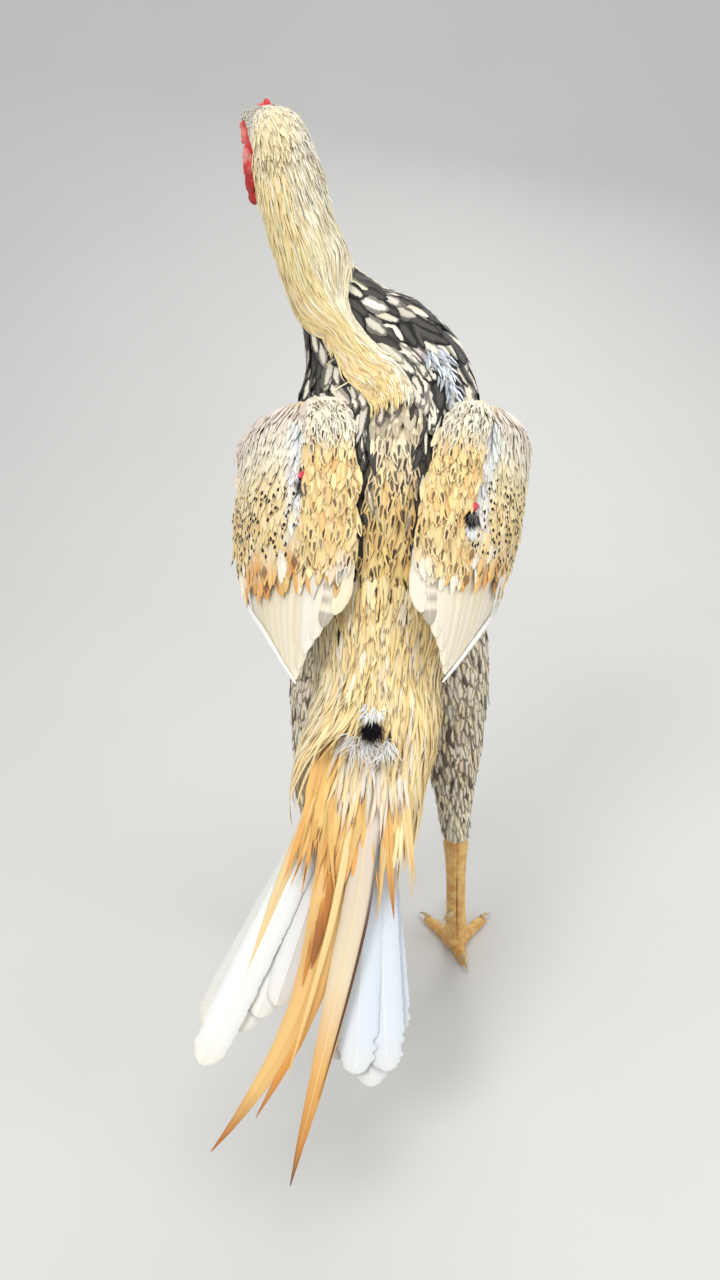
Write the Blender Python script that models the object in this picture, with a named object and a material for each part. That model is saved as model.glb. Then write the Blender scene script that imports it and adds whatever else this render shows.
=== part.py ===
"""A life-size aseel rooster, standing, seen in the photograph from behind: upright body, drooping tail,
wings held a little off the back and the neck leaning to its left. Metres, +Z up, the bird faces +Y."""

import math
import random

import bmesh
import bpy
from mathutils import Matrix, Vector

# Driving sizes, in metres. The bird is drawn with the floor at zero and is centred on its origin at the end.
GAP = 0.00035  # between a piece and the one it meets
VANE = 0.0006  # thickness of a feather
SUNK = -0.0022  # how far under the surface a feather's root lies
FLAT = math.radians(0.1)  # faces that bend less than this are one flat face
BODY_TILT = math.radians(58)  # of the back above the floor
BODY_LENGTH = 0.245  # tail root to shoulders
TAIL_ROOT = Vector((-0.019, 0.0, 0.305))
SHOULDERS = TAIL_ROOT + Vector((0.019, BODY_LENGTH * math.cos(BODY_TILT), BODY_LENGTH * math.sin(BODY_TILT)))
TAIL_DROP = math.radians(47)  # of the tail below the floor's level
RUMP_END = 0.36  # share of the body's length where the rump meets the torso
NECK_START = 8.9  # trunk station where the neck leaves the torso

BODY_AXIS = (SHOULDERS - TAIL_ROOT).normalized()
BODY_BACK = Vector((0, -math.sin(BODY_TILT), math.cos(BODY_TILT)))
X_AXIS = Vector((1, 0, 0))
Y_AXIS = Vector((0, 1, 0))
Z_AXIS = Vector((0, 0, 1))
SIDES = {"left": -1, "right": 1}

# Torso sections: share of the body's length, half width, depth to the back, depth to the breast
TORSO_SECTIONS = (
    (-0.06, 0.034, 0.024, 0.034),
    (0.0, 0.040, 0.028, 0.042),
    (0.2, 0.050, 0.036, 0.060),
    (0.42, 0.059, 0.046, 0.075),
    (0.64, 0.067, 0.054, 0.083),
    (0.84, 0.072, 0.057, 0.084),
    (1.0, 0.071, 0.054, 0.081),
)
# Neck sections: centre, half width, depth to the back, depth to the throat
NECK_SECTIONS = (
    ((-0.013, 0.147, 0.545), 0.0730, 0.0460, 0.0740),
    ((-0.026, 0.153, 0.572), 0.0600, 0.0370, 0.0620),
    ((-0.043, 0.153, 0.597), 0.0400, 0.0285, 0.0440),
    ((-0.061, 0.151, 0.622), 0.0270, 0.0250, 0.0310),
    ((-0.074, 0.149, 0.651), 0.0238, 0.0235, 0.0260),
    ((-0.085, 0.148, 0.679), 0.0230, 0.0228, 0.0240),
    ((-0.092, 0.149, 0.702), 0.0222, 0.0222, 0.0225),
    ((-0.097, 0.151, 0.720), 0.0205, 0.0205, 0.0190),
    ((-0.099, 0.152, 0.731), 0.0150, 0.0150, 0.0140),
)

SKULL = Vector((-0.100, 0.157, 0.731))  # the middle of the head
HEAD_YAW = math.radians(20)  # to the bird's left
HEAD_PITCH = math.radians(4)  # bill down
# Head sections: distance forward of the skull's middle, half width, height above, depth below
HEAD_SECTIONS = (
    (-0.0285, 0.0095, 0.0085, 0.0100),
    (-0.0250, 0.0155, 0.0140, 0.0155),
    (-0.0170, 0.0205, 0.0190, 0.0205),
    (-0.0060, 0.0228, 0.0215, 0.0230),
    (0.0050, 0.0225, 0.0212, 0.0235),
    (0.0140, 0.0200, 0.0192, 0.0225),
    (0.0220, 0.0162, 0.0162, 0.0195),
    (0.0285, 0.0126, 0.0130, 0.0158),
    (0.0330, 0.0100, 0.0102, 0.0120),
)
EYE_RADIUS = 0.0062
EYE_FORWARD = 0.0115
EYE_OUT = 0.0168
EYE_UP = 0.0030
LID = 0.0015
BILL_START = 0.0318
BILL_LENGTH = 0.0300
COMB_KNOB = 0.0060

# Feather outlines: share of the length, share of the half width
LANCE = ((0.0, 0.55), (0.35, 1.0), (0.72, 0.72), (1.0, 0.07))
ROUNDED = ((0.0, 0.60), (0.40, 1.0), (0.80, 0.85), (1.0, 0.26))
QUILLED = ((0.0, 0.62), (0.35, 1.0), (0.75, 0.92), (0.94, 0.60), (1.0, 0.22))
LONG = ((0.0, 0.35), (0.25, 0.80), (0.50, 1.0), (0.75, 0.98), (0.94, 0.70), (1.0, 0.24))
SICKLE = ((0.0, 0.45), (0.20, 0.85), (0.42, 1.0), (0.62, 0.84), (0.82, 0.48), (1.0, 0.05))
# How a feather rises from the skin: share of the length, height over it
OVER = ((0.0, SUNK), (0.30, 0.0014), (1.0, 0.0030))
BLADE_TILT = math.radians(6.5)  # each feather's turn, so that neighbours overlap as a fan's blades do

# Hackles: stations of root and tip, first and last angle round the neck, how many, half width
HACKLES = (
    (13.7, 12.3, 0, 360, 7, 0.0098),
    (12.8, 11.2, 26, 386, 7, 0.0100),
    (11.8, 10.0, 0, 360, 7, 0.0105),
    (10.9, 8.6, 18, 198, 6, 0.0100),
    (10.0, 6.5, 48, 152, 5, 0.0090),
)
# Saddle hackles: shares of the body's length at root and tip, first and last angle, how many, half width
SADDLE = (
    (0.31, -0.04, 24, 156, 6, 0.0095),
    (0.19, -0.26, 4, 176, 7, 0.0098),
    (0.08, -0.46, 12, 168, 7, 0.0084),
)
# The saddle's spread past the body: share of the body's length, half width, depth to the back and front
SADDLE_SECTIONS = (
    (-0.60, 0.044, 0.022, 0.024),
    (-0.35, 0.053, 0.026, 0.028),
    (-0.15, 0.056, 0.029, 0.032),
    (0.0, 0.049, 0.0315, 0.036),
    (0.16, 0.0480, 0.0345, 0.046),
)

WING_LENGTH = 0.235
WING_CORE_END = 0.62  # share of the wing's length that the arm and its feather roots take
WING_ROUND = 0.085  # radius of the wing's curve across the body
# Wing outline: share from shoulder to tip, half width
WING_OUTLINE = (
    (0.0, 0.024),
    (0.05, 0.043),
    (0.14, 0.054),
    (0.35, 0.058),
    (0.55, 0.057),
    (0.72, 0.051),
    (0.86, 0.037),
    (0.95, 0.024),
    (1.0, 0.015),
)
WING_DEPTH = ((0.0, 0.010), (0.1, 0.022), (0.35, 0.021), (0.5, 0.015), (WING_CORE_END, 0.0095))
# Each wing: turn from the back towards the flank, shift outwards at the shoulder and at the tip
WINGS = {
    "left": (math.radians(34), 0.053, 0.034),
    "right": (math.radians(42), 0.048, 0.010),
}
# How high a wing's middle line stands over the body's axis
WING_REACH = ((0.0, 0.070), (0.12, 0.081), (0.45, 0.083), (0.8, 0.074), (1.0, 0.066))
FLIGHTS = 8
FLIGHT_STEP = 0.0008  # each flight feather lies this far under the next one in
# Covert tiers: shares of the wing's length at root and tip, how many, half width
COVERTS = (
    (0.37, 0.70, 7, 0.0088),
    (0.17, 0.49, 7, 0.0086),
)

# Tail feathers: heading to the right of straight back in degrees, length, half width, height over the
# tail's plane at root and tip, bend aside at the tip
TAIL_LEFT = (
    (-17.5, 0.240, 0.0120, 0.0005, 0.0010, 0.0),
    (-19.5, 0.256, 0.0120, -0.0010, -0.0020, 0.0),
    (-21.8, 0.270, 0.0120, -0.0025, -0.0050, -0.002),
    (-24.0, 0.284, 0.0120, -0.0040, -0.0080, -0.004),
    (-26.0, 0.262, 0.0110, -0.0055, -0.0110, -0.002),
)
TAIL_RIGHT = (
    (-6.6, 0.258, 0.0120, 0.0003, 0.0008, 0.0),
    (-4.6, 0.266, 0.0125, -0.0012, -0.0022, 0.0),
    (-2.4, 0.272, 0.0125, -0.0027, -0.0052, 0.0),
    (-0.2, 0.272, 0.0120, -0.0042, -0.0082, 0.003),
    (1.8, 0.254, 0.0110, -0.0057, -0.0112, 0.003),
)
TAIL_SICKLES = (
    (-15.5, 0.330, 0.0125, 0.0034, 0.0050, -0.026),
    (-8.0, 0.334, 0.0130, 0.0050, 0.0085, -0.012),
    (-11.5, 0.283, 0.0065, 0.0020, 0.0026, -0.004),
)
COVERT_HEADINGS = (-29, -24, -19, -14, -9, -4, 1, 6)
COVERT_LENGTH = 0.145
TAIL_CORE = 0.085

HOCK_HEIGHT = 0.135
HIP_WIDTH = 0.046
HOCK_WIDTH = 0.066
STANCE_WIDTH = 0.073  # from the middle of the stance to each foot
STANCE_SHIFT = Vector((-0.008, 0.082, 0.0))  # the point on the floor between the feet
ANKLE_HEIGHT = 0.020
SHANK_SCUTES = 11
SCUTE_RISE = 0.0009
# Toes: name, heading from straight ahead (outwards is positive), length, half width at the root, scutes
TOES = (
    ("middle", math.radians(4), 0.066, 0.0075, 7),
    ("inner", math.radians(-34), 0.050, 0.0068, 5),
    ("outer", math.radians(40), 0.053, 0.0068, 6),
    ("hind", math.radians(168), 0.030, 0.0062, 3),
)
CLAW_LENGTH = 0.016
SPUR_LENGTH = 0.020

parts = bpy.data.collections.new("aseel_rooster")
draw = random.Random(7)


def clear_scene():
    for obj in list(bpy.data.objects):
        bpy.data.objects.remove(obj, do_unlink=True)
    bpy.context.scene.collection.children.link(parts)


def finish_material(name, colour, roughness):
    material = bpy.data.materials.get(name)
    if material is None:
        material = bpy.data.materials.new(name)
        material.use_nodes = True
        shader = material.node_tree.nodes["Principled BSDF"]
        shader.inputs["Base Color"].default_value = (*colour, 1)
        shader.inputs["Roughness"].default_value = roughness
        shader.inputs["Metallic"].default_value = 0.0
    return material


def cream():
    return finish_material("cream_feather", (0.78, 0.62, 0.36), 0.75)


def spangled():
    return finish_material("spangled_feather", (0.42, 0.33, 0.20), 0.75)


def golden():
    return finish_material("golden_feather", (0.72, 0.42, 0.14), 0.65)


def red_skin():
    return finish_material("red_skin", (0.72, 0.07, 0.07), 0.5)


def leg_scale():
    return finish_material("leg_scale", (0.72, 0.48, 0.22), 0.5)


def horn():
    return finish_material("horn", (0.62, 0.50, 0.30), 0.35)


def eye_wet():
    return finish_material("eye", (0.80, 0.68, 0.42), 0.1)


def spline(rows, place):
    """The row at a fractional place along a list of equal-length rows, by Catmull and Rom's curve."""
    place = min(max(place, 0.0), len(rows) - 1.0)
    k = min(int(place), len(rows) - 2)
    f = place - k
    before = rows[max(k - 1, 0)]
    here, after = rows[k], rows[k + 1]
    beyond = rows[min(k + 2, len(rows) - 1)]
    return [
        0.5 * (2 * q + (r - p) * f + (2 * p - 5 * q + 4 * r - s) * f * f + (3 * q - p - 3 * r + s) * f**3)
        for p, q, r, s in zip(before, here, after, beyond)
    ]


def between(rows, x):
    """Straight-line reading of (x, value) rows."""
    for (x0, y0), (x1, y1) in zip(rows, rows[1:]):
        if x <= x1:
            return y0 + (y1 - y0) * max(0.0, x - x0) / (x1 - x0)
    return rows[-1][1]


def trunk_rows():
    rows = []
    for share, half_width, back, front in TORSO_SECTIONS:
        centre = TAIL_ROOT.lerp(SHOULDERS, share)
        rows.append((*centre, half_width, back, front))
    for centre, half_width, back, front in NECK_SECTIONS:
        rows.append((*centre, half_width, back, front))
    return rows


TRUNK = trunk_rows()


def trunk_station(share):
    """The trunk station at a share of the body's length."""
    shares = [(section[0], k) for k, section in enumerate(TORSO_SECTIONS)]
    return between(shares, share)


def oval_point(centre, right, back, sizes, angle, lift):
    """A point on an oval with its own depth to the back and to the front, lifted off it."""
    half_width, back_depth, front_depth = sizes
    depth = back_depth if math.sin(angle) > 0 else front_depth
    x, y = half_width * math.cos(angle), depth * math.sin(angle)
    normal = (right * (math.cos(angle) / half_width) + back * (math.sin(angle) / depth)).normalized()
    return centre + right * x + back * y + normal * lift


def trunk_point(station, angle, lift=0.0):
    """A point on the trunk: angle 0 is the bird's right, 90 degrees its back, 270 its front."""
    row = spline(TRUNK, station)
    ahead = Vector(spline(TRUNK, station + 0.05)[:3])
    behind = Vector(spline(TRUNK, station - 0.05)[:3])
    along = (ahead - behind).normalized()
    right = (X_AXIS - X_AXIS.dot(along) * along).normalized()
    return oval_point(Vector(row[:3]), right, right.cross(along), row[3:], angle, lift)


def new_object(name, points, faces, material):
    mesh = bpy.data.meshes.new(name)
    mesh.from_pydata([tuple(p) for p in points], [], faces)
    work = bmesh.new()
    work.from_mesh(mesh)
    bmesh.ops.recalc_face_normals(work, faces=work.faces)
    work.to_mesh(mesh)
    work.free()
    mesh.materials.append(material)
    obj = bpy.data.objects.new(name, mesh)
    parts.objects.link(obj)
    return obj


def loft(name, rings, material):
    """A closed body through rings of points, with a fan of triangles over each end."""
    count = len(rings[0])
    points = [p for ring in rings for p in ring]
    faces = []
    for k in range(len(rings) - 1):
        for j in range(count):
            a, b = k * count + j, k * count + (j + 1) % count
            faces.append((a, b, b + count, a + count))
    for ring, start in ((rings[0], 0), (rings[-1], (len(rings) - 1) * count)):
        points.append(sum(ring, Vector()) / count)
        middle = len(points) - 1
        faces += [(start + j, start + (j + 1) % count, middle) for j in range(count)]
    return new_object(name, points, faces, material)


def oval_ring(centre, side, up, half_width, above, below, count):
    """A ring with its own height above and below the centre."""
    ring = []
    for k in range(count):
        angle = 2 * math.pi * k / count
        height = above if math.sin(angle) > 0 else below
        ring.append(centre + side * (half_width * math.cos(angle)) + up * (height * math.sin(angle)))
    return ring


def ball(name, centre, radii, axes, material, segments, rings):
    """An ellipsoid from a UV sphere, its three half sizes along the given axes."""
    mesh = bpy.data.meshes.new(name)
    work = bmesh.new()
    bmesh.ops.create_uvsphere(work, u_segments=segments, v_segments=rings, radius=1.0)
    for vertex in work.verts:
        x, y, z = vertex.co
        vertex.co = centre + axes[0] * (x * radii[0]) + axes[1] * (y * radii[1]) + axes[2] * (z * radii[2])
    bmesh.ops.recalc_face_normals(work, faces=work.faces)
    work.to_mesh(mesh)
    work.free()
    mesh.materials.append(material)
    obj = bpy.data.objects.new(name, mesh)
    parts.objects.link(obj)
    return obj


def vane(name, path, normals, half_widths, material, tilt=0.0):
    """A feather: a thin blade along a path, its two faces split into triangles alike."""
    points, faces = [], []
    for k, centre in enumerate(path):
        ahead, behind = path[min(k + 1, len(path) - 1)], path[max(k - 1, 0)]
        along = (ahead - behind).normalized()
        side = Matrix.Rotation(tilt, 3, along) @ along.cross(normals[k]).normalized()
        up = side.cross(along).normalized() * (VANE / 2)
        out = side * half_widths[k]
        points += [centre - out - up, centre + out - up, centre + out + up, centre - out + up]
    for k in range(len(path) - 1):
        a, b = 4 * k, 4 * k + 4
        faces += [(a, a + 1, b + 1), (a, b + 1, b)]
        faces += [(a + 3, b + 2, a + 2), (a + 3, b + 3, b + 2)]
        faces += [(a + 1, a + 2, b + 2), (a + 1, b + 2, b + 1)]
        faces += [(a, b, b + 3), (a, b + 3, a + 3)]
    last = 4 * (len(path) - 1)
    faces += [(0, 3, 2), (0, 2, 1), (last, last + 1, last + 2), (last, last + 2, last + 3)]
    return new_object(name, points, faces, material)


def feather(name, place, outline, half_width, rise, material, tilt=0.0):
    """A vane over a surface. place(share, lift) is a point of it at a share of the feather's length."""
    path, normals, widths = [], [], []
    for share, width in outline:
        lift = between(rise, share)
        here = place(share, lift)
        path.append(here)
        normals.append((place(share, lift + 0.001) - here).normalized())
        widths.append(half_width * width)
    return vane(name, path, normals, widths, material, tilt)


def apply_modifier(obj, modifier):
    bpy.context.view_layer.objects.active = obj
    bpy.ops.object.modifier_apply(modifier=modifier.name)


def keep_largest(obj):
    """Only the largest closed surface of a mesh stays, its flat places in as few triangles as they need."""
    work = bmesh.new()
    work.from_mesh(obj.data)
    bmesh.ops.triangulate(work, faces=work.faces)
    groups, seen = [], set()
    for face in work.faces:
        if face in seen:
            continue
        group, to_visit = [], [face]
        seen.add(face)
        while to_visit:
            here = to_visit.pop()
            group.append(here)
            for edge in here.edges:
                fresh = [other for other in edge.link_faces if other not in seen]
                seen.update(fresh)
                to_visit += fresh
        groups.append(group)

    def volume(group):
        corners = [[v.co for v in face.verts] for face in group]
        return sum(a.dot(b.cross(c)) for a, b, c in corners) / 6

    groups.sort(key=volume)
    scraps = [face for group in groups[:-1] for face in group]
    bmesh.ops.delete(work, geom=scraps, context="FACES")
    bmesh.ops.dissolve_limit(work, angle_limit=FLAT, verts=work.verts, edges=work.edges)
    bmesh.ops.triangulate(work, faces=work.faces)
    work.to_mesh(obj.data)
    work.free()


def fuse(obj, pieces):
    """Joins closed pieces into obj by one union."""
    group = bpy.data.collections.new("pieces_of_" + obj.name)
    bpy.context.scene.collection.children.link(group)
    for piece in pieces:
        parts.objects.unlink(piece)
        group.objects.link(piece)
    modifier = obj.modifiers.new("union", "BOOLEAN")
    modifier.operation = "UNION"
    modifier.operand_type = "COLLECTION"
    modifier.collection = group
    modifier.solver = "MANIFOLD"
    apply_modifier(obj, modifier)
    for piece in pieces:
        bpy.data.objects.remove(piece, do_unlink=True)
    bpy.data.collections.remove(group)
    keep_largest(obj)
    return obj


def cut(obj, cutter):
    modifier = obj.modifiers.new("cut", "BOOLEAN")
    modifier.operation = "DIFFERENCE"
    modifier.object = cutter
    modifier.solver = "MANIFOLD"
    apply_modifier(obj, modifier)
    bpy.data.objects.remove(cutter, do_unlink=True)
    keep_largest(obj)
    return obj


def swollen(obj):
    """A copy of a body, grown by the gap on all sides."""
    copy = bpy.data.objects.new("swollen_" + obj.name, obj.data.copy())
    parts.objects.link(copy)
    for vertex in copy.data.vertices:
        vertex.co = vertex.co + vertex.normal * GAP
    return copy


def clear_of(obj, *others):
    """Cuts obj back wherever it would meet the others, with the gap between."""
    for other in others:
        cut(obj, swollen(other))
    return obj


def spread(first, last, count):
    """Evenly spaced values, those of a full turn without the last, which is the first again."""
    steps = count if abs(last - first) >= 360 else count - 1
    return [first + (last - first) * k / steps for k in range(count)]


def trunk_length(name, first, last, steps, count, material):
    """A length of the trunk between two stations."""
    rings = []
    for k in range(steps + 1):
        station = first + (last - first) * k / steps
        rings.append([trunk_point(station, 2 * math.pi * j / count) for j in range(count)])
    return loft(name, rings, material)


def station_gap(station):
    """How many stations the gap between two lengths of the trunk is."""
    step = 0.1
    move = Vector(spline(TRUNK, station + step)[:3]) - Vector(spline(TRUNK, station)[:3])
    return step * GAP / move.length


def make_trunk():
    rump_top = trunk_station(RUMP_END)
    rump = trunk_length("rump", trunk_station(0.0), rump_top - station_gap(rump_top), 3, 22, cream())
    torso = trunk_length("torso", rump_top, NECK_START, 11, 24, spangled())
    neck_low = NECK_START + 3 * station_gap(NECK_START)
    neck = trunk_length("neck", neck_low, len(TRUNK) - 1, 7, 16, cream())
    return rump, torso, neck


def hackle(row, k, root, tip, angle, half_width):
    """One hackle of the neck, from its root down to its tip."""

    def place(share, lift):
        return trunk_point(root + (tip - root) * share, math.radians(angle), lift)

    return feather(f"hackle_{row}_{k}", place, LANCE, half_width, OVER, cream())


def add_hackles(neck):
    pieces = []
    for row, (root, tip, first, last, count, half_width) in enumerate(HACKLES):
        for k, angle in enumerate(spread(first, last, count)):
            end = tip + draw.uniform(-0.10, 0.10)
            pieces.append(hackle(row, k, root, end, angle + draw.uniform(-1, 1), half_width))
    return fuse(neck, pieces)


def saddle_point(share, angle, lift):
    """A point on the saddle's surface, which runs on past the body over the tail."""
    centre = TAIL_ROOT + BODY_AXIS * (share * BODY_LENGTH)
    on_body = trunk_point(trunk_station(max(share, -0.06)), angle, lift)
    sizes = [between([(row[0], row[k]) for row in SADDLE_SECTIONS], share) for k in (1, 2, 3)]
    on_skirt = oval_point(centre, X_AXIS, BODY_BACK, sizes, angle, lift)
    blend = min(max((0.16 - share) / 0.16, 0.0), 1.0)
    return on_body.lerp(on_skirt, blend)


def add_saddle(rump):
    pieces = []
    for row, (root, tip, first, last, count, half_width) in enumerate(SADDLE):
        for k, degrees in enumerate(spread(first, last, count)):
            angle = math.radians(degrees + draw.uniform(-1, 1))
            end = tip + draw.uniform(-0.03, 0.03)

            def place(share, lift):
                return saddle_point(root + (end - root) * share, angle, lift)

            name = f"saddle_{row}_{k}"
            pieces.append(feather(name, place, LANCE, half_width, OVER, cream()))
    return fuse(rump, pieces)


def head_axes():
    forward = Vector((-math.sin(HEAD_YAW), math.cos(HEAD_YAW), 0)) * math.cos(HEAD_PITCH)
    forward -= Z_AXIS * math.sin(HEAD_PITCH)
    side = forward.cross(Z_AXIS).normalized()
    return side, forward, side.cross(forward)


HEAD_SIDE, HEAD_FORWARD, HEAD_UP = HEAD_AXES = head_axes()


def head_place(forward, side, up):
    return SKULL + HEAD_FORWARD * forward + HEAD_SIDE * side + HEAD_UP * up


def hump(x, middle, spread_out):
    return math.exp(-(((x - middle) / spread_out) ** 2))


def head_ring(forward, half_width, above, below, count):
    """A head section with its brow, eye hollow and cheek."""
    ring = []
    for k in range(count):
        angle = 2 * math.pi * k / count
        lean = math.asin(math.sin(angle))  # height, on either side alike
        height = above if math.sin(angle) > 0 else below
        swell = 1.0
        swell += 0.17 * hump(forward, 0.010, 0.010) * hump(lean, 0.72, 0.30)
        swell -= 0.13 * hump(forward, 0.013, 0.008) * hump(lean, 0.12, 0.28)
        swell += 0.10 * hump(forward, 0.000, 0.012) * hump(lean, -0.55, 0.40)
        side, up = half_width * math.cos(angle) * swell, height * math.sin(angle) * swell
        ring.append(head_place(forward, side, up))
    return ring


def eye_centre(side):
    return head_place(EYE_FORWARD, side * EYE_OUT, EYE_UP)


def lid_ring(side):
    """The lids: a ring round the eye, facing outwards and a little forward."""
    outward = (HEAD_SIDE * side + HEAD_FORWARD * 0.22).normalized()
    bpy.ops.mesh.primitive_torus_add(
        major_segments=12, minor_segments=5, major_radius=EYE_RADIUS * 0.93, minor_radius=LID
    )
    lids = bpy.context.object
    turn = outward.to_track_quat("Z", "Y").to_matrix().to_4x4()
    place = eye_centre(side) + outward * (EYE_RADIUS * 0.42)
    lids.data.transform(Matrix.Translation(place) @ turn @ Matrix.Diagonal((1.0, 0.82, 1.0, 1.0)))
    for collection in lids.users_collection:
        collection.objects.unlink(lids)
    parts.objects.link(lids)
    return lids


def make_head():
    head = loft("head", [head_ring(*section, 18) for section in HEAD_SECTIONS], red_skin())
    fuse(head, [lid_ring(side) for side in SIDES.values()])
    for word, side in SIDES.items():
        eye = ball("eye_" + word, eye_centre(side), [EYE_RADIUS] * 3, HEAD_AXES, eye_wet(), 10, 6)
        cut(head, swollen(eye))
        slit = head_place(BILL_START - 0.006, side * 0.0135, -0.0055)
        cut(head, ball("mouth_slit", slit, (0.005, 0.009, 0.0005), HEAD_AXES, red_skin(), 8, 4))
    return head


def bill_half(name, length, half_width, rise, fall, hook, steps):
    """One half of the bill, curving down to its tip."""
    rings = []
    for k in range(steps + 1):
        f = k / steps
        taper = math.sqrt(max(1 - f**1.7, 0.02))
        centre = head_place(BILL_START - 0.004 + length * f, 0.0, -0.0032 - hook * f**2.2)
        rings.append(
            oval_ring(centre, HEAD_SIDE, HEAD_UP, half_width * taper, rise * taper, fall * taper, 10)
        )
    return loft(name, rings, horn())


def make_bill(head):
    upper = bill_half("bill_upper", BILL_LENGTH, 0.0088, 0.0108, 0.0014, 0.0078, 6)
    lower = bill_half("bill_lower", BILL_LENGTH * 0.76, 0.0074, 0.0006, 0.0064, 0.0036, 5)
    for side in SIDES.values():
        nostril = head_place(BILL_START + 0.0055, side * 0.0066, 0.0022)
        cut(upper, ball("nostril", nostril, (0.0016, 0.0022, 0.0010), HEAD_AXES, horn(), 8, 4))
    clear_of(upper, head)
    clear_of(lower, upper, head)
    return upper, lower


def make_comb(head, upper):
    """A pea comb: three low rows of knobs, the middle one highest."""
    knobs = []
    for row, count, height in ((0, 5, 1.0), (-1, 4, 0.62), (1, 4, 0.62)):
        for k in range(count):
            f = k / (count - 1)
            arch = math.sin(math.pi * (0.15 + 0.75 * f))
            forward = 0.004 + 0.025 * f + (0.0025 if row else 0.0)
            up = 0.0200 - 0.0105 * f**1.6 + 0.0028 * height * arch - (0.0014 if row else 0.0)
            size = (0.0031, 0.0043, COMB_KNOB * height * (0.65 + 0.45 * arch))
            place = head_place(forward, row * 0.0046, up)
            knobs.append(ball(f"knob_{row}_{k}", place, size, HEAD_AXES, red_skin(), 6, 4))
    comb = knobs.pop(2)
    comb.name = "comb"
    fuse(comb, knobs)
    return clear_of(comb, head, upper)


def make_lobes(head, neck):
    lobes = []
    for word, side in SIDES.items():
        place = head_place(0.0015, side * 0.0222, -0.0130)
        lobe = ball("earlobe_" + word, place, (0.0042, 0.0052, 0.0085), HEAD_AXES, red_skin(), 9, 6)
        lobes.append(clear_of(lobe, head, neck))
    return lobes


def make_dewlap(head, neck, lower):
    """The loose skin of the throat, a fold that runs down the front of the neck."""
    rings = []
    for k in range(8):
        f = k / 7
        width = 0.0095 * (1 - 0.45 * f) * (1 + 0.10 * math.cos(5 * math.pi * f))
        depth = 0.0130 * math.sqrt(math.sin(math.pi * (0.12 + 0.80 * f)))
        centre = head_place(0.0170 - 0.0020 * f - 0.0060 * f * f, -0.004 * f, -0.0150 - 0.0360 * f)
        rings.append(oval_ring(centre, HEAD_SIDE, HEAD_FORWARD, width, depth, depth, 10))
    dewlap = loft("dewlap", rings, red_skin())
    return clear_of(dewlap, head, lower, neck)


def wing_axes(word):
    """Outward normal and across direction of a wing's middle line."""
    out, turn = X_AXIS * SIDES[word], WINGS[word][0]
    normal = BODY_BACK * math.cos(turn) + out * math.sin(turn)
    across = out * math.cos(turn) - BODY_BACK * math.sin(turn)
    return normal, across


def wing_bulge(share, q):
    """How far the wing's outer face swells over its curve, with the muscle of the arm."""
    return 0.0008 + 0.20 * between(WING_DEPTH, share) * math.sqrt(max(1 - q * q, 0.0))


def wing_point(word, share, q, lift=0.0):
    """A point over a wing's outer face: share from shoulder to tip, q from its inner edge to its outer."""
    _, shift_top, shift_tip = WINGS[word]
    normal, across = wing_axes(word)
    centre = TAIL_ROOT.lerp(SHOULDERS, 1.03 - share * WING_LENGTH / BODY_LENGTH)
    shift = shift_top + (shift_tip - shift_top) * share
    angle = q * between(WING_OUTLINE, share) / WING_ROUND
    place = centre + normal * between(WING_REACH, share) + across * shift
    place += across * (WING_ROUND * math.sin(angle)) + normal * (WING_ROUND * (math.cos(angle) - 1))
    outward = normal * math.cos(angle) + across * math.sin(angle)
    return place + outward * (wing_bulge(share, q) + lift)


def wing_core(word):
    """The wing's arm and the bases of its feathers, as one curved body."""
    rings, half, steps = [], 7, 8
    for k in range(steps + 1):
        share = WING_CORE_END * (k / steps) ** 1.2
        qs = [-1 + 2 * j / half for j in range(half + 1)]
        outer = [wing_point(word, share, q) for q in qs]
        deep = between(WING_DEPTH, share)
        inner = [wing_point(word, share, q, -0.002 - 1.2 * deep * math.sqrt(max(1 - q * q, 0))) for q in qs]
        rings.append(outer + inner[::-1])
    return loft("wing_" + word, rings, cream())


def flight_feathers(word):
    """The folded flight feathers, the innermost on top."""
    pieces, inner, outer = [], -0.80, 0.80
    for k in range(FLIGHTS):
        f = k / (FLIGHTS - 1)
        q = inner + (outer - inner) * f
        tip = 1.0 - 0.26 * (0.66 - f) ** 2 / 0.4356 if f < 0.66 else 1.0 - 0.9 * (f - 0.66) ** 2
        low = -0.0012 - FLIGHT_STEP * k
        rise = ((0.0, low - 0.0015), (0.3, low), (1.0, low + 0.0012))
        root = 0.46

        def place(share, lift):
            return wing_point(word, root + (tip - root) * share, q, lift)

        name = f"flight_{word}_{k}"
        pieces.append(feather(name, place, QUILLED, 0.0092, rise, cream(), BLADE_TILT * SIDES[word]))
    return pieces


def wing_coverts(word):
    pieces = []
    for row, (root, tip, count, half_width) in enumerate(COVERTS):
        for k, q in enumerate(spread(-0.80, 0.80, count)):
            end = tip - 0.05 * q * q + draw.uniform(-0.01, 0.01)

            def place(share, lift):
                return wing_point(word, root + (end - root) * share, q, lift)

            name = f"covert_{word}_{row}_{k}"
            tilt = BLADE_TILT * SIDES[word]
            pieces.append(feather(name, place, ROUNDED, half_width, OVER, cream(), tilt))
    return pieces


def make_wing(word, torso, rump, neck):
    wing = wing_core(word)
    fuse(wing, flight_feathers(word) + wing_coverts(word))
    return clear_of(wing, torso, rump, neck)


def tail_axes():
    down_back = Vector((0, -math.cos(TAIL_DROP), -math.sin(TAIL_DROP)))
    upward = Vector((0, -math.sin(TAIL_DROP), math.cos(TAIL_DROP)))
    return down_back, upward


TAIL_BACK, TAIL_UP = tail_axes()


def tail_place(along, side, up):
    """A place on the tail: distance along it, to the bird's right, and above its plane."""
    return TAIL_ROOT + TAIL_BACK * along + X_AXIS * side + TAIL_UP * up


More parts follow.
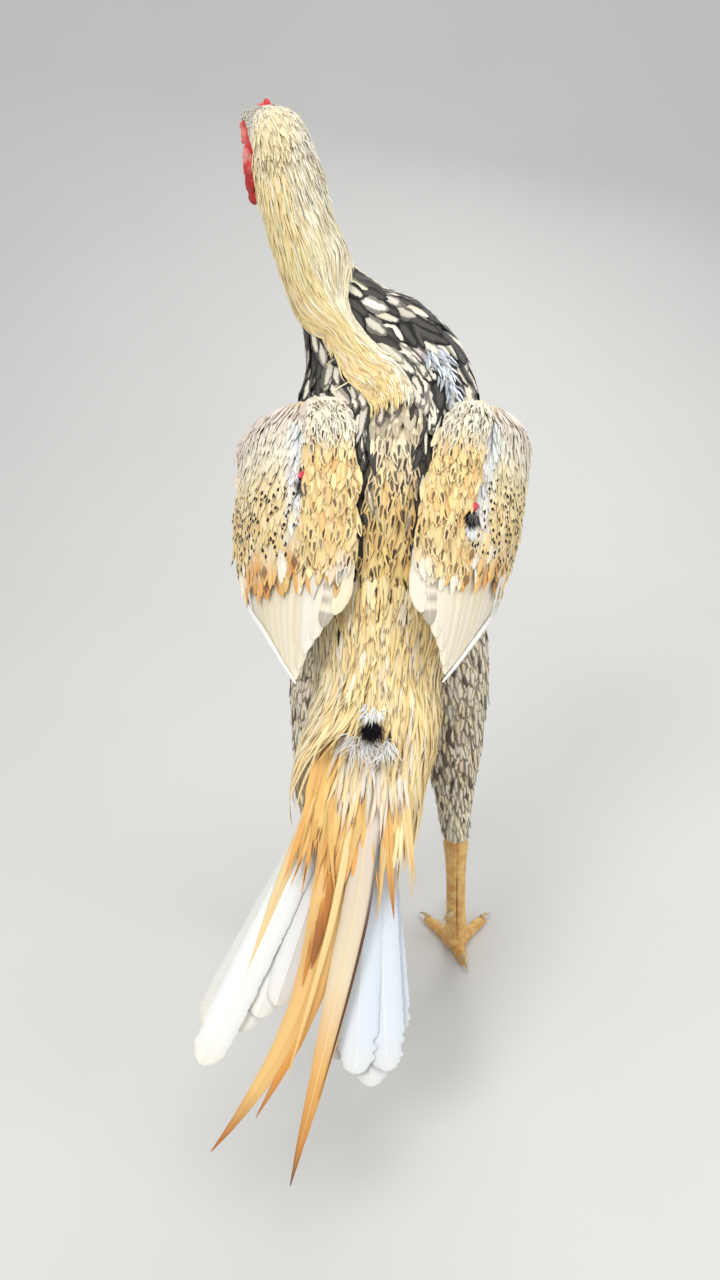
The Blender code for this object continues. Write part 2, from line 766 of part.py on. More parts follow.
def tail_feather(name, outline, degrees, length, half_width, up_root, up_tip, bend, material):
    """A tail feather fanned by its heading, bent aside towards its tip."""
    heading, root = math.radians(degrees), 0.12

    def place(share, lift):
        f = root + (1 - root) * share
        side = math.sin(heading) * length * f + bend * f**2.5
        return tail_place(math.cos(heading) * length * f, side, lift)

    rise = ((0.0, up_root), (1.0, up_tip))
    return feather(name, place, outline, half_width, rise, material)


def make_tail(rump):
    rings = []
    for k in range(6):
        f = k / 5
        centre = tail_place(-0.012 + (TAIL_CORE + 0.012) * f, -0.016 * f, 0.001)
        rings.append(
            oval_ring(centre, X_AXIS, TAIL_UP, 0.028 + 0.004 * f, 0.021 - 0.012 * f, 0.022 - 0.013 * f, 12)
        )
    tail = loft("tail", rings, golden())
    pieces = []
    for k, row in enumerate(TAIL_LEFT + TAIL_RIGHT):
        pieces.append(tail_feather(f"rectrix_{k}", LONG, *row, cream()))
    for k, row in enumerate(TAIL_SICKLES):
        pieces.append(tail_feather(f"sickle_{k}", SICKLE, *row, golden()))
    for k, heading in enumerate(COVERT_HEADINGS):
        length = COVERT_LENGTH + draw.uniform(-0.016, 0.016)
        row = (heading, length, 0.0105, 0.0072 + 0.0011 * (k % 2), 0.0090 + 0.0011 * (k % 2), 0.0)
        pieces.append(tail_feather(f"tail_covert_{k}", ROUNDED, *row, golden()))
    fuse(tail, pieces)
    return clear_of(tail, rump)


def foot_centre(side):
    return STANCE_SHIFT + X_AXIS * (side * STANCE_WIDTH)


def hock(side):
    return Vector((STANCE_SHIFT.x + side * HOCK_WIDTH, STANCE_SHIFT.y - 0.020, HOCK_HEIGHT))


def make_thigh(word, side, *neighbours):
    """The feathered thigh, from the flank down to the hock."""
    low = hock(side)
    hip = Vector((side * HIP_WIDTH - 0.004, 0.078, 0.362))
    knee = Vector((side * 0.057 - 0.005, 0.092, 0.272))
    sections = (
        (hip + Vector((-side * 0.020, 0.010, 0.050)), 0.012, 0.018),
        (hip + Vector((-side * 0.008, 0.005, 0.030)), 0.024, 0.034),
        (hip, 0.031, 0.042),
        (hip.lerp(knee, 0.5), 0.033, 0.044),
        (knee, 0.030, 0.038),
        (knee.lerp(low, 0.35) + Y_AXIS * 0.004, 0.0240, 0.0300),
        (knee.lerp(low, 0.62) + Y_AXIS * 0.003, 0.0170, 0.0220),
        (knee.lerp(low, 0.82), 0.0125, 0.0150),
        (low + Z_AXIS * 0.010, 0.0108, 0.0125),
    )
    rings = [oval_ring(centre, X_AXIS, Y_AXIS, half, depth, depth, 14) for centre, half, depth in sections]
    return clear_of(loft("thigh_" + word, rings, spangled()), *neighbours)


def shank_centre(side, f):
    """The middle of the shank at a share of its height, hock to ankle."""
    top = hock(side) + Z_AXIS * (0.010 - GAP)
    return top.lerp(foot_centre(side) + Z_AXIS * ANKLE_HEIGHT, f)


def make_shank(word, side):
    """The scaled shank, each scute on its front a step that overhangs the next."""
    half_widths = ((0.0, 0.0100), (0.08, 0.0112), (0.2, 0.0096), (0.4, 0.0086), (0.7, 0.0085), (1.0, 0.0100))
    depths = ((0.0, 0.0118), (0.08, 0.0136), (0.2, 0.0115), (0.4, 0.0100), (0.7, 0.0098), (1.0, 0.0108))
    rings = []
    for k in range(SHANK_SCUTES):
        for f, rise in ((k + 0.06, -0.35), (k + 0.94, 1.0)):
            f /= SHANK_SCUTES
            half_width, depth = between(half_widths, f), between(depths, f)
            front = depth + SCUTE_RISE * rise
            ring = oval_ring(
                shank_centre(side, f), X_AXIS, Y_AXIS, half_width + 0.4 * SCUTE_RISE * rise, front, depth, 10
            )
            rings.append(ring)
    rings[0] = oval_ring(shank_centre(side, 0.0), X_AXIS, Y_AXIS, 0.0100, 0.0118, 0.0118, 10)
    rings.append(oval_ring(shank_centre(side, 1.0), X_AXIS, Y_AXIS, 0.0098, 0.0104, 0.0106, 10))
    return loft("shank_" + word, rings, leg_scale())


def toe_heading(side, angle):
    return Vector((side * math.sin(angle), math.cos(angle), 0))


def toe_ring(centre, across, half_width, height, count):
    """A toe section, flat where it stands on the floor."""
    ring = []
    for k in range(count):
        angle = 2 * math.pi * k / count
        z = max(0.0, height * 0.42 + height * 0.58 * math.sin(angle))
        ring.append(Vector((centre.x, centre.y, z)) + across * (half_width * math.cos(angle)))
    return ring


def make_toe(word, side, name, angle, length, half_width, scutes):
    """A toe with its scutes stepped on top and its pads swelling at the joints."""
    heading = toe_heading(side, angle)
    across = heading.cross(Z_AXIS)
    root = 0.005
    rings = []
    for k in range(scutes):
        for f, rise in ((k + 0.08, -0.4), (k + 0.92, 1.0)):
            f /= scutes
            taper = (1 - 0.42 * f) * (1 + 0.07 * math.cos(f * 6 * math.pi))
            place = foot_centre(side) + heading * (root + (length - root) * f)
            height = half_width * 1.75 * taper + 0.8 * SCUTE_RISE * rise
            rings.append(toe_ring(place, across, half_width * taper, height, 8))
    return loft(f"toe_{word}_{name}", rings, leg_scale())


def make_claw(word, side, name, angle, length, foot):
    heading = toe_heading(side, angle)
    across = heading.cross(Z_AXIS)
    rings, steps = [], 4
    for k in range(steps + 1):
        f = k / steps
        taper = max(1 - f, 0.12)
        place = foot_centre(side) + heading * (length - 0.005 + CLAW_LENGTH * f)
        place.z = 0.0066 + 0.0010 * math.sin(math.pi * f) - 0.0052 * f * f
        rings.append(oval_ring(place, across, Z_AXIS, 0.0027 * taper, 0.0030 * taper, 0.0026 * taper, 6))
    return clear_of(loft(f"claw_{word}_{name}", rings, horn()), foot)


def make_foot(word, side, shank):
    """The pad, the four toes that spread from it and their claws."""
    centre = foot_centre(side)
    rings = []
    for z, size in ((0.0, 0.0105), (0.004, 0.0122), (0.010, 0.0125), (0.016, 0.0115), (0.0215, 0.0102)):
        rings.append(oval_ring(centre + Z_AXIS * z, X_AXIS, Y_AXIS, size, size, size, 12))
    foot = loft("foot_" + word, rings, leg_scale())
    fuse(foot, [make_toe(word, side, *toe) for toe in TOES])
    clear_of(foot, shank)
    for name, angle, length, _, _ in TOES:
        make_claw(word, side, name, angle, length, foot)


def make_spur(word, side, shank):
    """The spur, on the inner and rear side of the shank."""
    heading = Vector((-side * 0.55, -0.80, -0.12)).normalized()
    across = heading.cross(Z_AXIS).normalized()
    upward = across.cross(heading)
    rings, steps = [], 4
    for k in range(steps + 1):
        f = k / steps
        size = 0.0046 * max(1 - f, 0.12)
        place = shank_centre(side, 0.70) + heading * (0.006 + SPUR_LENGTH * f) + upward * (0.003 * f * f)
        rings.append(oval_ring(place, across, upward, size, size, size, 8))
    return clear_of(loft("spur_" + word, rings, horn()), shank)


def centre_on_origin():
    """Moves the whole bird so that the origin is under the middle of its box."""
    corners = [vertex.co for obj in parts.objects for vertex in obj.data.vertices]
    low = Vector([min(c[k] for c in corners) for k in range(3)])
    high = Vector([max(c[k] for c in corners) for k in range(3)])
    middle = (low + high) / 2
    for obj in parts.objects:
        obj.data.transform(Matrix.Translation((-middle.x, -middle.y, -low.z)))


def main():
    clear_scene()
    rump, torso, neck = make_trunk()
    head = make_head()
    clear_of(neck, head)
    upper, lower = make_bill(head)
    make_comb(head, upper)
    face = make_lobes(head, neck) + [make_dewlap(head, neck, lower)]
    clear_of(add_hackles(neck), head, torso, *face)
    wings = [make_wing(word, torso, rump, neck) for word in SIDES]
    clear_of(add_saddle(rump), torso, *wings)
    make_tail(rump)
    for word, side in SIDES.items():
        make_thigh(word, side, torso, rump, *wings)
        shank = make_shank(word, side)
        make_foot(word, side, shank)
        make_spur(word, side, shank)
    centre_on_origin()


main()
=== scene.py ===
# Aseel rooster, a still model at life size: skin, feathers, face, bill, legs, floor, light and camera.
import math

import bpy
import numpy as np
from mathutils import Matrix, Vector, noise
from mathutils.bvhtree import BVHTree


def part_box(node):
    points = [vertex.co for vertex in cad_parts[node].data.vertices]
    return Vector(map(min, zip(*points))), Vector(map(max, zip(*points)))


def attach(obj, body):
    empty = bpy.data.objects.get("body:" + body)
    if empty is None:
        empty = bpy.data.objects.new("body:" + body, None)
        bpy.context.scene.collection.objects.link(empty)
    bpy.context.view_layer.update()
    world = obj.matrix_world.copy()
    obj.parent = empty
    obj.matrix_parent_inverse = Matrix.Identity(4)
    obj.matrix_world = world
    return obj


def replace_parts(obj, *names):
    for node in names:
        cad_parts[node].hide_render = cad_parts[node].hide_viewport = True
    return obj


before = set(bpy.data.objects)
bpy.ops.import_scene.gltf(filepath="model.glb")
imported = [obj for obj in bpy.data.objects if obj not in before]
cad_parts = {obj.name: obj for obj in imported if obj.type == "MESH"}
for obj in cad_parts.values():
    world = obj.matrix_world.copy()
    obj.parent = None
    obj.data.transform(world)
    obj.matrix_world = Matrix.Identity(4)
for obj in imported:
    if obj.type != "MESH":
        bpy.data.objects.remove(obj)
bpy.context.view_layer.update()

rng = np.random.default_rng(11)
sides = {"left": -1, "right": 1}
fullTurn = 2 * math.pi
print("frame loaded:", len(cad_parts), "solids")

# The bird's measures, as its solids have them, in metres
bird = dict(
    tilt=math.radians(58),  # of the back above the floor
    length=0.245,  # tail root to shoulders
    tailRoot=(-0.019, 0.0, 0.305),
    tailDrop=math.radians(47),
    skull=(-0.100, 0.157, 0.731),
    headYaw=math.radians(20),  # to the bird's left
    headPitch=math.radians(4),
    eyeForward=0.0115,
    eyeOut=0.0168,
    eyeUp=0.0030,
    eyeRadius=0.0062,
)
# Torso sections: share of the body's length, half width, depth to the back, depth to the breast
torsoSections = (
    (-0.06, 0.034, 0.024, 0.034),
    (0.0, 0.040, 0.028, 0.042),
    (0.2, 0.050, 0.036, 0.060),
    (0.42, 0.059, 0.046, 0.075),
    (0.64, 0.067, 0.054, 0.083),
    (0.84, 0.072, 0.057, 0.084),
    (1.0, 0.071, 0.054, 0.081),
)
# Neck sections: centre, half width, depth to the back, depth to the throat
neckSections = (
    (-0.013, 0.147, 0.545, 0.0730, 0.0460, 0.0740),
    (-0.026, 0.153, 0.572, 0.0600, 0.0370, 0.0620),
    (-0.043, 0.153, 0.597, 0.0400, 0.0285, 0.0440),
    (-0.061, 0.151, 0.622, 0.0270, 0.0250, 0.0310),
    (-0.074, 0.149, 0.651, 0.0238, 0.0235, 0.0260),
    (-0.085, 0.148, 0.679, 0.0230, 0.0228, 0.0240),
    (-0.092, 0.149, 0.702, 0.0222, 0.0222, 0.0225),
    (-0.097, 0.151, 0.720, 0.0205, 0.0205, 0.0190),
    (-0.099, 0.152, 0.731, 0.0150, 0.0150, 0.0140),
)
# Saddle past the body: share of the body's length, half width, depth to the back and to the front
saddleSections = (
    (-0.60, 0.040, 0.022, 0.024),
    (-0.35, 0.048, 0.026, 0.028),
    (-0.15, 0.052, 0.029, 0.032),
    (0.0, 0.049, 0.0315, 0.036),
    (0.16, 0.048, 0.0345, 0.046),
)
# Head sections: distance forward of the skull's middle, half width, height above, depth below
headSections = (
    (-0.0285, 0.0095, 0.0085, 0.0100),
    (-0.0250, 0.0155, 0.0140, 0.0155),
    (-0.0170, 0.0205, 0.0190, 0.0205),
    (-0.0060, 0.0228, 0.0215, 0.0230),
    (0.0050, 0.0225, 0.0212, 0.0235),
    (0.0140, 0.0200, 0.0192, 0.0225),
    (0.0220, 0.0162, 0.0162, 0.0195),
    (0.0285, 0.0126, 0.0130, 0.0158),
    (0.0330, 0.0100, 0.0102, 0.0120),
)
wing = dict(
    length=0.235,
    curve=0.085,  # radius of the curve across the body
    straightFrom=0.55,  # turn from which the outer edge goes straight on
    outline=((0, 0.05, 0.14, 0.35, 0.55, 0.72, 0.86, 0.95, 1),
             (0.024, 0.043, 0.054, 0.058, 0.057, 0.051, 0.037, 0.024, 0.015)),
    depth=((0, 0.1, 0.35, 0.5, 0.62), (0.010, 0.022, 0.021, 0.015, 0.0095)),
    reach=((0, 0.12, 0.45, 0.8, 1), (0.070, 0.081, 0.083, 0.074, 0.066)),
    hung={"left": (math.radians(34), 0.053, 0.034), "right": (math.radians(42), 0.048, 0.010)},
    # how far the shoulder's corner and then the whole outer edge stand out, by a share and in metres
    corner={"left": (0.54, 0.004, 0.15, 0.004), "right": (0.18, 0.000, 0.04, 0.000)},
)


def vec(*values):
    return np.array(values, float)


def unit(a):
    return a / np.maximum(np.linalg.norm(a, axis=-1, keepdims=True), 1e-12)


def smooth(x, low, high):
    t = np.clip((x - low) / (high - low), 0, 1)
    return t * t * (3 - 2 * t)


def hump(x, middle, spread):
    return np.exp(-(((x - middle) / spread) ** 2))


def mix(a, b, share):
    return a + (b - a) * share


def spread(*values):
    return np.broadcast_arrays(*(np.asarray(x, float) for x in values))


def ringAt(centre, right, back, half, depth, angle):
    return centre + right * (half * np.cos(angle))[..., None] + back * (depth * np.sin(angle))[..., None]


def fromBack(angle):
    # How far round from the middle of the back, up to half a turn either way
    return (angle - math.pi / 2 + math.pi) % fullTurn - math.pi


xAxis, yAxis, zAxis = vec(1, 0, 0), vec(0, 1, 0), vec(0, 0, 1)
bodyBack = vec(0, -math.sin(bird["tilt"]), math.cos(bird["tilt"]))
bodyAxis = vec(0.019, bird["length"] * math.cos(bird["tilt"]), bird["length"] * math.sin(bird["tilt"]))
headForward = vec(-math.sin(bird["headYaw"]), math.cos(bird["headYaw"]), 0) * math.cos(bird["headPitch"])
headForward = headForward - zAxis * math.sin(bird["headPitch"])
headSide = unit(np.cross(headForward, zAxis))
headUp = np.cross(headSide, headForward)
tailBack = vec(0, -math.cos(bird["tailDrop"]), -math.sin(bird["tailDrop"]))
tailUp = vec(0, -math.sin(bird["tailDrop"]), math.cos(bird["tailDrop"]))


def findShift():
    # The solids were centred on the origin after drawing. The eyes say by how much.
    corners = [np.array(c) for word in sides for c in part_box("eye_" + word)]
    drawn = vec(*bird["skull"]) + headForward * bird["eyeForward"] + headUp * bird["eyeUp"]
    middle = sum(corners) / len(corners)
    return vec(middle[0] - drawn[0], middle[1] - drawn[1], 0)


shift = findShift()
tailRoot = vec(*bird["tailRoot"]) + shift
shoulders = tailRoot + bodyAxis
skull = vec(*bird["skull"]) + shift
bodyDirection = unit(bodyAxis)


def trunkTable():
    rows = [(*(tailRoot + (shoulders - tailRoot) * s[0]), *s[1:]) for s in torsoSections]
    rows += [(*(vec(*s[:3]) + shift), *s[3:]) for s in neckSections]
    return np.array(rows)


trunkRows = trunkTable()


def alongRows(rows, place):
    # Catmull and Rom's curve through the rows, straight on past the first one
    held = np.clip(place, 0, len(rows) - 1.0)
    k = np.minimum(held.astype(int), len(rows) - 2)
    f = (held - k)[..., None]
    p, q = rows[np.maximum(k - 1, 0)], rows[k]
    r, s = rows[k + 1], rows[np.minimum(k + 2, len(rows) - 1)]
    curve = 0.5 * (2 * q + (r - p) * f + (2 * p - 5 * q + 4 * r - s) * f**2 + (3 * q - p - 3 * r + s) * f**3)
    return curve + (rows[1] - rows[0]) * np.minimum(place, 0)[..., None]


def ovalAt(centre, right, back, sizes, angle, lift):
    half, depth = sizes[..., 0], np.where(np.sin(angle) > 0, sizes[..., 1], sizes[..., 2])
    outward = unit(right * (np.cos(angle) / half)[..., None] + back * (np.sin(angle) / depth)[..., None])
    return ringAt(centre, right, back, half, depth, angle) + outward * lift[..., None]


def trunkAt(station, angle, lift):
    # Angle 0 is the bird's right, a quarter turn its back, three quarters its front
    station, angle, lift = spread(station, angle, lift)
    row = alongRows(trunkRows, station)
    ahead, behind = (alongRows(trunkRows, station + step)[..., :3] for step in (0.05, -0.05))
    along = unit(ahead - behind)
    right = unit(xAxis - along * (along @ xAxis)[..., None])
    sizes = np.maximum(row[..., 3:], 0.006)
    # below the head the coat stands out on the right and lies close on the left
    fuller = 0.0060 * hump(station, 13.2, 1.3) * np.maximum(np.cos(angle), 0)
    fuller -= 0.0026 * hump(station, 12.6, 1.2) * np.maximum(-np.cos(angle), 0)
    fuller -= 0.0035 * hump(station, 9.0, 0.9) * np.maximum(np.cos(angle), 0)
    return ovalAt(row[..., :3], right, np.cross(right, along), sizes, angle, lift + fuller)


# Stations down the neck, and how much of each half turn the hackles keep there
cape = dict(
    left=((5.5, 6, 7, 8, 9, 9.5, 10, 10.4), (0.14, 0.17, 0.20, 0.21, 0.26, 0.48, 0.84, 1.0)),
    right=((5.5, 6, 7, 8, 9, 9.5, 10, 10.6), (0.06, 0.07, 0.06, 0.04, 0.06, 0.18, 0.50, 1.0)),
)


def capeAt(station, angle, lift):
    # The hackles leave the flare of the shoulders and draw in to a narrow strip over the back
    station, angle, lift = spread(station, angle, lift)
    offset = fromBack(angle)
    kept = np.where(offset > 0, np.interp(station, *cape["left"]), np.interp(station, *cape["right"]))
    ridge = 0.0050 * (1 - np.minimum(np.abs(offset) / 1.8, 1) ** 2) * smooth(-station, -10.2, -8.6)
    return trunkAt(station, math.pi / 2 + offset * kept, lift + ridge)


def trunkStation(share):
    return np.interp(share, [s[0] for s in torsoSections], range(len(torsoSections)))


def saddleAt(share, angle, lift):
    share, angle, lift = spread(share, angle, lift)
    onBody = trunkAt(trunkStation(np.maximum(share, -0.06)), angle, lift)
    table = np.array(saddleSections)
    sizes = np.stack([np.interp(share, table[:, 0], table[:, k]) for k in (1, 2, 3)], -1)
    centre = tailRoot + bodyAxis * share[..., None] - xAxis * 0.009 * smooth(-share, 0.0, 0.3)[..., None]
    onSkirt = ovalAt(centre, xAxis, bodyBack, sizes, angle, lift)
    return mix(onBody, onSkirt, np.clip((0.16 - share) / 0.16, 0, 1)[..., None])


def headPlace(forward, side, up):
    forward, side, up = (np.asarray(x, float)[..., None] for x in (forward, side, up))
    return skull + headForward * forward + headSide * side + headUp * up


def headAt(forward, angle, lift):
    # Angle 0 is the right of the head, a quarter turn its crown, which is broad and leans to the left
    forward, angle, lift = spread(forward, angle, lift)
    table = np.array(headSections)
    half, above, below = (np.interp(forward, table[:, 0], table[:, k]) for k in (1, 2, 3))
    lean = np.arcsin(np.sin(angle))
    swell = 1.0 + 0.17 * hump(forward, 0.010, 0.010) * hump(lean, 0.72, 0.30)
    swell -= 0.13 * hump(forward, 0.013, 0.008) * hump(lean, 0.12, 0.28)
    swell += 0.10 * hump(forward, 0.000, 0.012) * hump(lean, -0.55, 0.40)
    height = np.where(np.sin(angle) > 0, above, below)
    c, s = np.cos(angle), np.sin(angle)
    squarer = np.where(s > 0, 0.86, 1.0)
    side = (half * swell + lift) * np.sign(c) * np.abs(c) ** squarer
    up = (height * swell + lift) * np.sign(s) * np.abs(s) ** squarer
    return headPlace(forward, side - 0.15 * np.maximum(up - 0.004, 0), up)


def wingAxes(word):
    # The way out of a hung wing, and the way across it to its outer edge
    aside, turn = xAxis * sides[word], wing["hung"][word][0]
    normal = bodyBack * math.cos(turn) + aside * math.sin(turn)
    return normal, aside * math.cos(turn) - bodyBack * math.sin(turn)


def wingSurface(word):
    # Share runs down the wing, q from -1 at its inner edge to 1 at its outer one
    normal, across = wingAxes(word)
    _, top, tip = wing["hung"][word]
    broader, further, wide, out = wing["corner"][word]
    curve = wing["curve"]

    def at(share, q, lift):
        share, q, lift = spread(share, q, lift)
        centre = tailRoot + bodyAxis * (1.03 - share * wing["length"] / bird["length"])[..., None]
        outside = 1.14 + wide * hump(share, 0.30, 0.22) + broader * smooth(-share, -0.20, -0.02)
        angle = q * np.where(q > 0, outside, 1.0) * np.interp(share, *wing["outline"]) / curve
        bent = np.minimum(angle, wing["straightFrom"])
        past = angle - bent
        reach = np.interp(share, *wing["reach"]) + curve * (np.cos(bent) - past * np.sin(bent) - 1)
        sideways = mix(top, tip, share) + curve * (np.sin(bent) + past * np.cos(bent))
        corner = out + further * hump(share, 0.07, 0.06)
        sideways = sideways + corner * smooth(q, 0.2, 1.0) * smooth(0.85 - share, 0, 0.3)
        place = centre + normal * reach[..., None] + across * sideways[..., None]
        outward = normal * np.cos(bent)[..., None] + across * np.sin(bent)[..., None]
        bulge = 0.0008 + 0.20 * np.interp(share, *wing["depth"]) * np.sqrt(np.maximum(1 - q * q, 0))
        inner = 0.0034 * hump(q, -0.66, 0.27) * smooth(0.60 - share, 0, 0.05)  # the inner lobe's pad
        outer = 0.0016 * hump(q, 0.25, 0.50) * smooth(0.62 - share, 0, 0.2)
        crease = 0.0030 * hump(q, -0.28, 0.075) * smooth(0.54 - share, 0, 0.12)
        return place + outward * (bulge + inner + outer - crease + lift)[..., None]

    return at


def underSurface(word):
    # A wing's hollow side, over its flesh
    outerSide = wingSurface(word)

    def at(share, q, lift):
        share, q, lift = spread(share, q, lift)
        deep = np.interp(share, *wing["depth"]) * np.sqrt(np.maximum(1 - q * q, 0))
        return outerSide(share, q * 0.95, -0.0030 - 1.1 * deep - lift)

    return at


def tailAt(along, side, lift):
    along, side, lift = (np.asarray(x, float)[..., None] for x in (along, side, lift))
    return tailRoot + tailBack * along + xAxis * side + tailUp * lift


def hock(side):
    return vec(-0.008 + side * 0.066, 0.062, 0.135) + shift


def thighTable(side):
    low = hock(side)
    hip = vec(side * 0.046 - 0.004, 0.078, 0.362) + shift
    knee = vec(side * 0.057 - 0.005, 0.092, 0.272) + shift
    sections = (
        (hip + vec(-side * 0.020, 0.010, 0.050), 0.012, 0.018),
        (hip + vec(-side * 0.008, 0.005, 0.030), 0.024, 0.034),
        (hip, 0.031, 0.042),
        (mix(hip, knee, 0.5), 0.033, 0.044),
        (knee, 0.030, 0.038),
        (mix(knee, low, 0.35) + yAxis * 0.004, 0.0240, 0.0300),
        (mix(knee, low, 0.62) + yAxis * 0.003, 0.0170, 0.0220),
        (mix(knee, low, 0.82), 0.0125, 0.0150),
        (low + zAxis * 0.010, 0.0108, 0.0125),
    )
    return np.array([(*centre, half, depth) for centre, half, depth in sections])


def thighSurface(side):
    table = thighTable(side)

    def at(place, angle, lift):
        place, angle, lift = spread(place, angle, lift)
        row = alongRows(table, place)
        half, depth = (np.maximum(row[..., k], 0.004) + lift for k in (3, 4))
        return ringAt(row[..., :3], xAxis, yAxis, half, depth, angle)

    return at


# Each surface that feathers grow on: where it is, which way they run, the step for its slopes, its place on
# the coat's own unwrap (corner and size) and what its two measures run from and to
trunkMap = dict(sense=-1, eps=(0.03, 0.02), patch=(0.02, 0.02, 0.40, 0.60), span=(-2, 15, 0, 6.2832))
surfaces = {
    "trunk": dict(at=trunkAt, **trunkMap),
    "cape": dict(at=capeAt, **trunkMap),
    "saddle": dict(at=saddleAt, sense=-1, eps=(0.005, 0.02), patch=(0.02, 0.66, 0.40, 0.30),
                   span=(-0.7, 0.5, -0.6, 3.8)),
    "head": dict(at=headAt, sense=-1, eps=(0.0005, 0.02), patch=(0.45, 0.70, 0.22, 0.26),
                 span=(-0.03, 0.033, 0, 6.2832)),
    "tail": dict(at=tailAt, sense=1, eps=(0.002, 0.002), patch=(0.72, 0.66, 0.26, 0.30),
                 span=(-0.02, 0.3, -0.1, 0.1)),
}
wingMap = dict(sense=1, eps=(0.005, 0.01), span=(0, 1.1, -1.2, 1.2))
thighMap = dict(sense=1, eps=(0.02, 0.02), span=(0, 8, 0, 6.2832))
for word, x in (("left", 0.45), ("right", 0.72)):
    surfaces["wing_" + word] = dict(at=wingSurface(word), patch=(x, 0.02, 0.12, 0.30), **wingMap)
    surfaces["under_" + word] = dict(at=underSurface(word), patch=(x + 0.13, 0.02, 0.11, 0.30), **wingMap)
    surfaces["thigh_" + word] = dict(at=thighSurface(sides[word]), patch=(x, 0.36, 0.24, 0.28), **thighMap)


def unwrap(surface, a, b):
    x, y, wide, high = surface["patch"]
    a0, a1, b0, b1 = surface["span"]
    aside = b % b1 if b1 > 6 else b  # a whole turn comes round again
    across = np.clip((aside - b0) / (b1 - b0), 0, 1)
    return np.stack([x + wide * across, y + high * np.clip((a - a0) / (a1 - a0), 0, 1)], -1)


def paint(red, green, blue):
    # A colour as a screen shows it, 0 to 255, in the linear values that shaders take
    c = vec(red, green, blue) / 255
    return np.where(c <= 0.04045, c / 12.92, ((c + 0.055) / 1.055) ** 2.4)


pigment = dict(
    cream=paint(240, 220, 168),
    paleCream=paint(238, 230, 206),
    pearl=paint(220, 214, 196),
    chalk=paint(226, 218, 200),
    gold=paint(234, 196, 122),
    orange=paint(220, 152, 72),
    rust=paint(178, 112, 52),
    white=paint(236, 234, 228),
    blueWhite=paint(210, 222, 234),
    blush=paint(230, 216, 202),
    olive=paint(150, 146, 116),
    slate=paint(150, 154, 156),
    grey=paint(120, 118, 114),
    black=paint(28, 25, 26),
    umber=paint(98, 64, 40),
    horn=paint(214, 188, 130),
)

# Feather outlines, share of the length and of the half width
outlines = {
    "lance": ((0, 0.12, 0.35, 0.6, 0.8, 0.93, 1), (0.24, 0.74, 1.0, 0.86, 0.56, 0.25, 0.04)),
    "body": ((0, 0.15, 0.45, 0.7, 0.85, 0.95, 1), (0.28, 0.74, 1.0, 0.94, 0.68, 0.36, 0.08)),
    "round": ((0, 0.15, 0.45, 0.75, 0.88, 0.96, 1), (0.28, 0.72, 1.0, 1.0, 0.82, 0.50, 0.12)),
    "quill": ((0, 0.1, 0.35, 0.7, 0.88, 0.96, 1), (0.30, 0.75, 1.0, 0.98, 0.82, 0.52, 0.14)),
    "rectrix": ((0, 0.1, 0.35, 0.7, 0.88, 0.94, 0.955, 0.967, 0.978, 0.987, 0.994, 1),
                (0.25, 0.60, 0.85, 1.0, 1.0, 0.97, 0.92, 0.85, 0.74, 0.60, 0.42, 0.14)),
    "sickle": ((0, 0.1, 0.25, 0.45, 0.62, 0.76, 0.88, 0.95, 1),
               (0.30, 0.62, 0.90, 1.0, 0.88, 0.62, 0.36, 0.18, 0.03)),
    "hair": ((0, 0.5, 1), (1.0, 0.7, 0.1)),
    "rod": ((0, 0.6, 0.95, 1), (1.0, 0.9, 0.5, 0.2)),
}
# Cross-sections: across, height in thicknesses, going round
sections = {
    "thin": (vec(-1, 0, 1, 0), vec(0, 0.5, 0, -0.5)),
    "wide": (vec(-1, -0.5, -0.07, 0, 0.07, 0.5, 1, 0.5, 0, -0.5),
             vec(0, 0.5, 0.6, 1.5, 0.6, 0.5, 0, -0.5, -1.1, -0.5)),
    "strand": (vec(-1, 0, 1), vec(0, 1.6, 0)),
    "ridge": (vec(-1, 0, 1), vec(0, 1.0, 0)),
}


def each(value, count):
    value = np.asarray(value, float)
    return np.full(count, value) if value.ndim == 0 else value


def eachColour(value, count):
    value = np.asarray(value, float)
    return np.tile(value, (count, 1)) if value.ndim == 1 else value


def stepsAlong(points):
    return np.linalg.norm(np.diff(points, axis=-2), axis=-1)


def walk(where, a, b, length, steps=8, heading=0.0, bend=0.0, rise=(-0.004, 0.0, 0.001), lift=0.0,
         flutter=0.0003, flow=None):
    # Lines over a surface from their roots, each in equal steps, so that it keeps its length
    surface = surfaces[where]
    at, (ea, eb), sense = surface["at"], surface["eps"], surface["sense"]
    n = len(a)
    a, b, length, heading, bend, lift = (each(x, n) for x in (a, b, length, heading, bend, lift))
    v = np.linspace(0, 1, steps + 1)
    lifts = np.interp(v, np.linspace(0, 1, len(rise)), rise)[None, :] + rng.normal(0, flutter, (n, 1)) * v
    lifts = lifts + lift[:, None]
    bakeRoot = unwrap(surface, a, b)
    step = length / steps
    places, normals = [], []
    for up in lifts.T:
        here = at(a, b, up)
        places.append(here)
        normals.append(unit(at(a, b, up + 0.001) - here))
        slopeA = np.linalg.norm(at(a + ea, b, up) - at(a - ea, b, up), axis=-1) / (2 * ea)
        slopeB = np.linalg.norm(at(a, b + eb, up) - at(a, b - eb, up), axis=-1) / (2 * eb)
        aim = heading + (flow(a, b) if flow else 0.0)
        a = a + sense * np.cos(aim) * step / np.maximum(slopeA, 1e-4)
        b = b + np.sin(aim) * step / np.maximum(slopeB, 1e-4)
        heading = heading + bend / steps
    return dict(places=np.stack(places, 1), normals=np.stack(normals, 1), bakeRoot=bakeRoot)


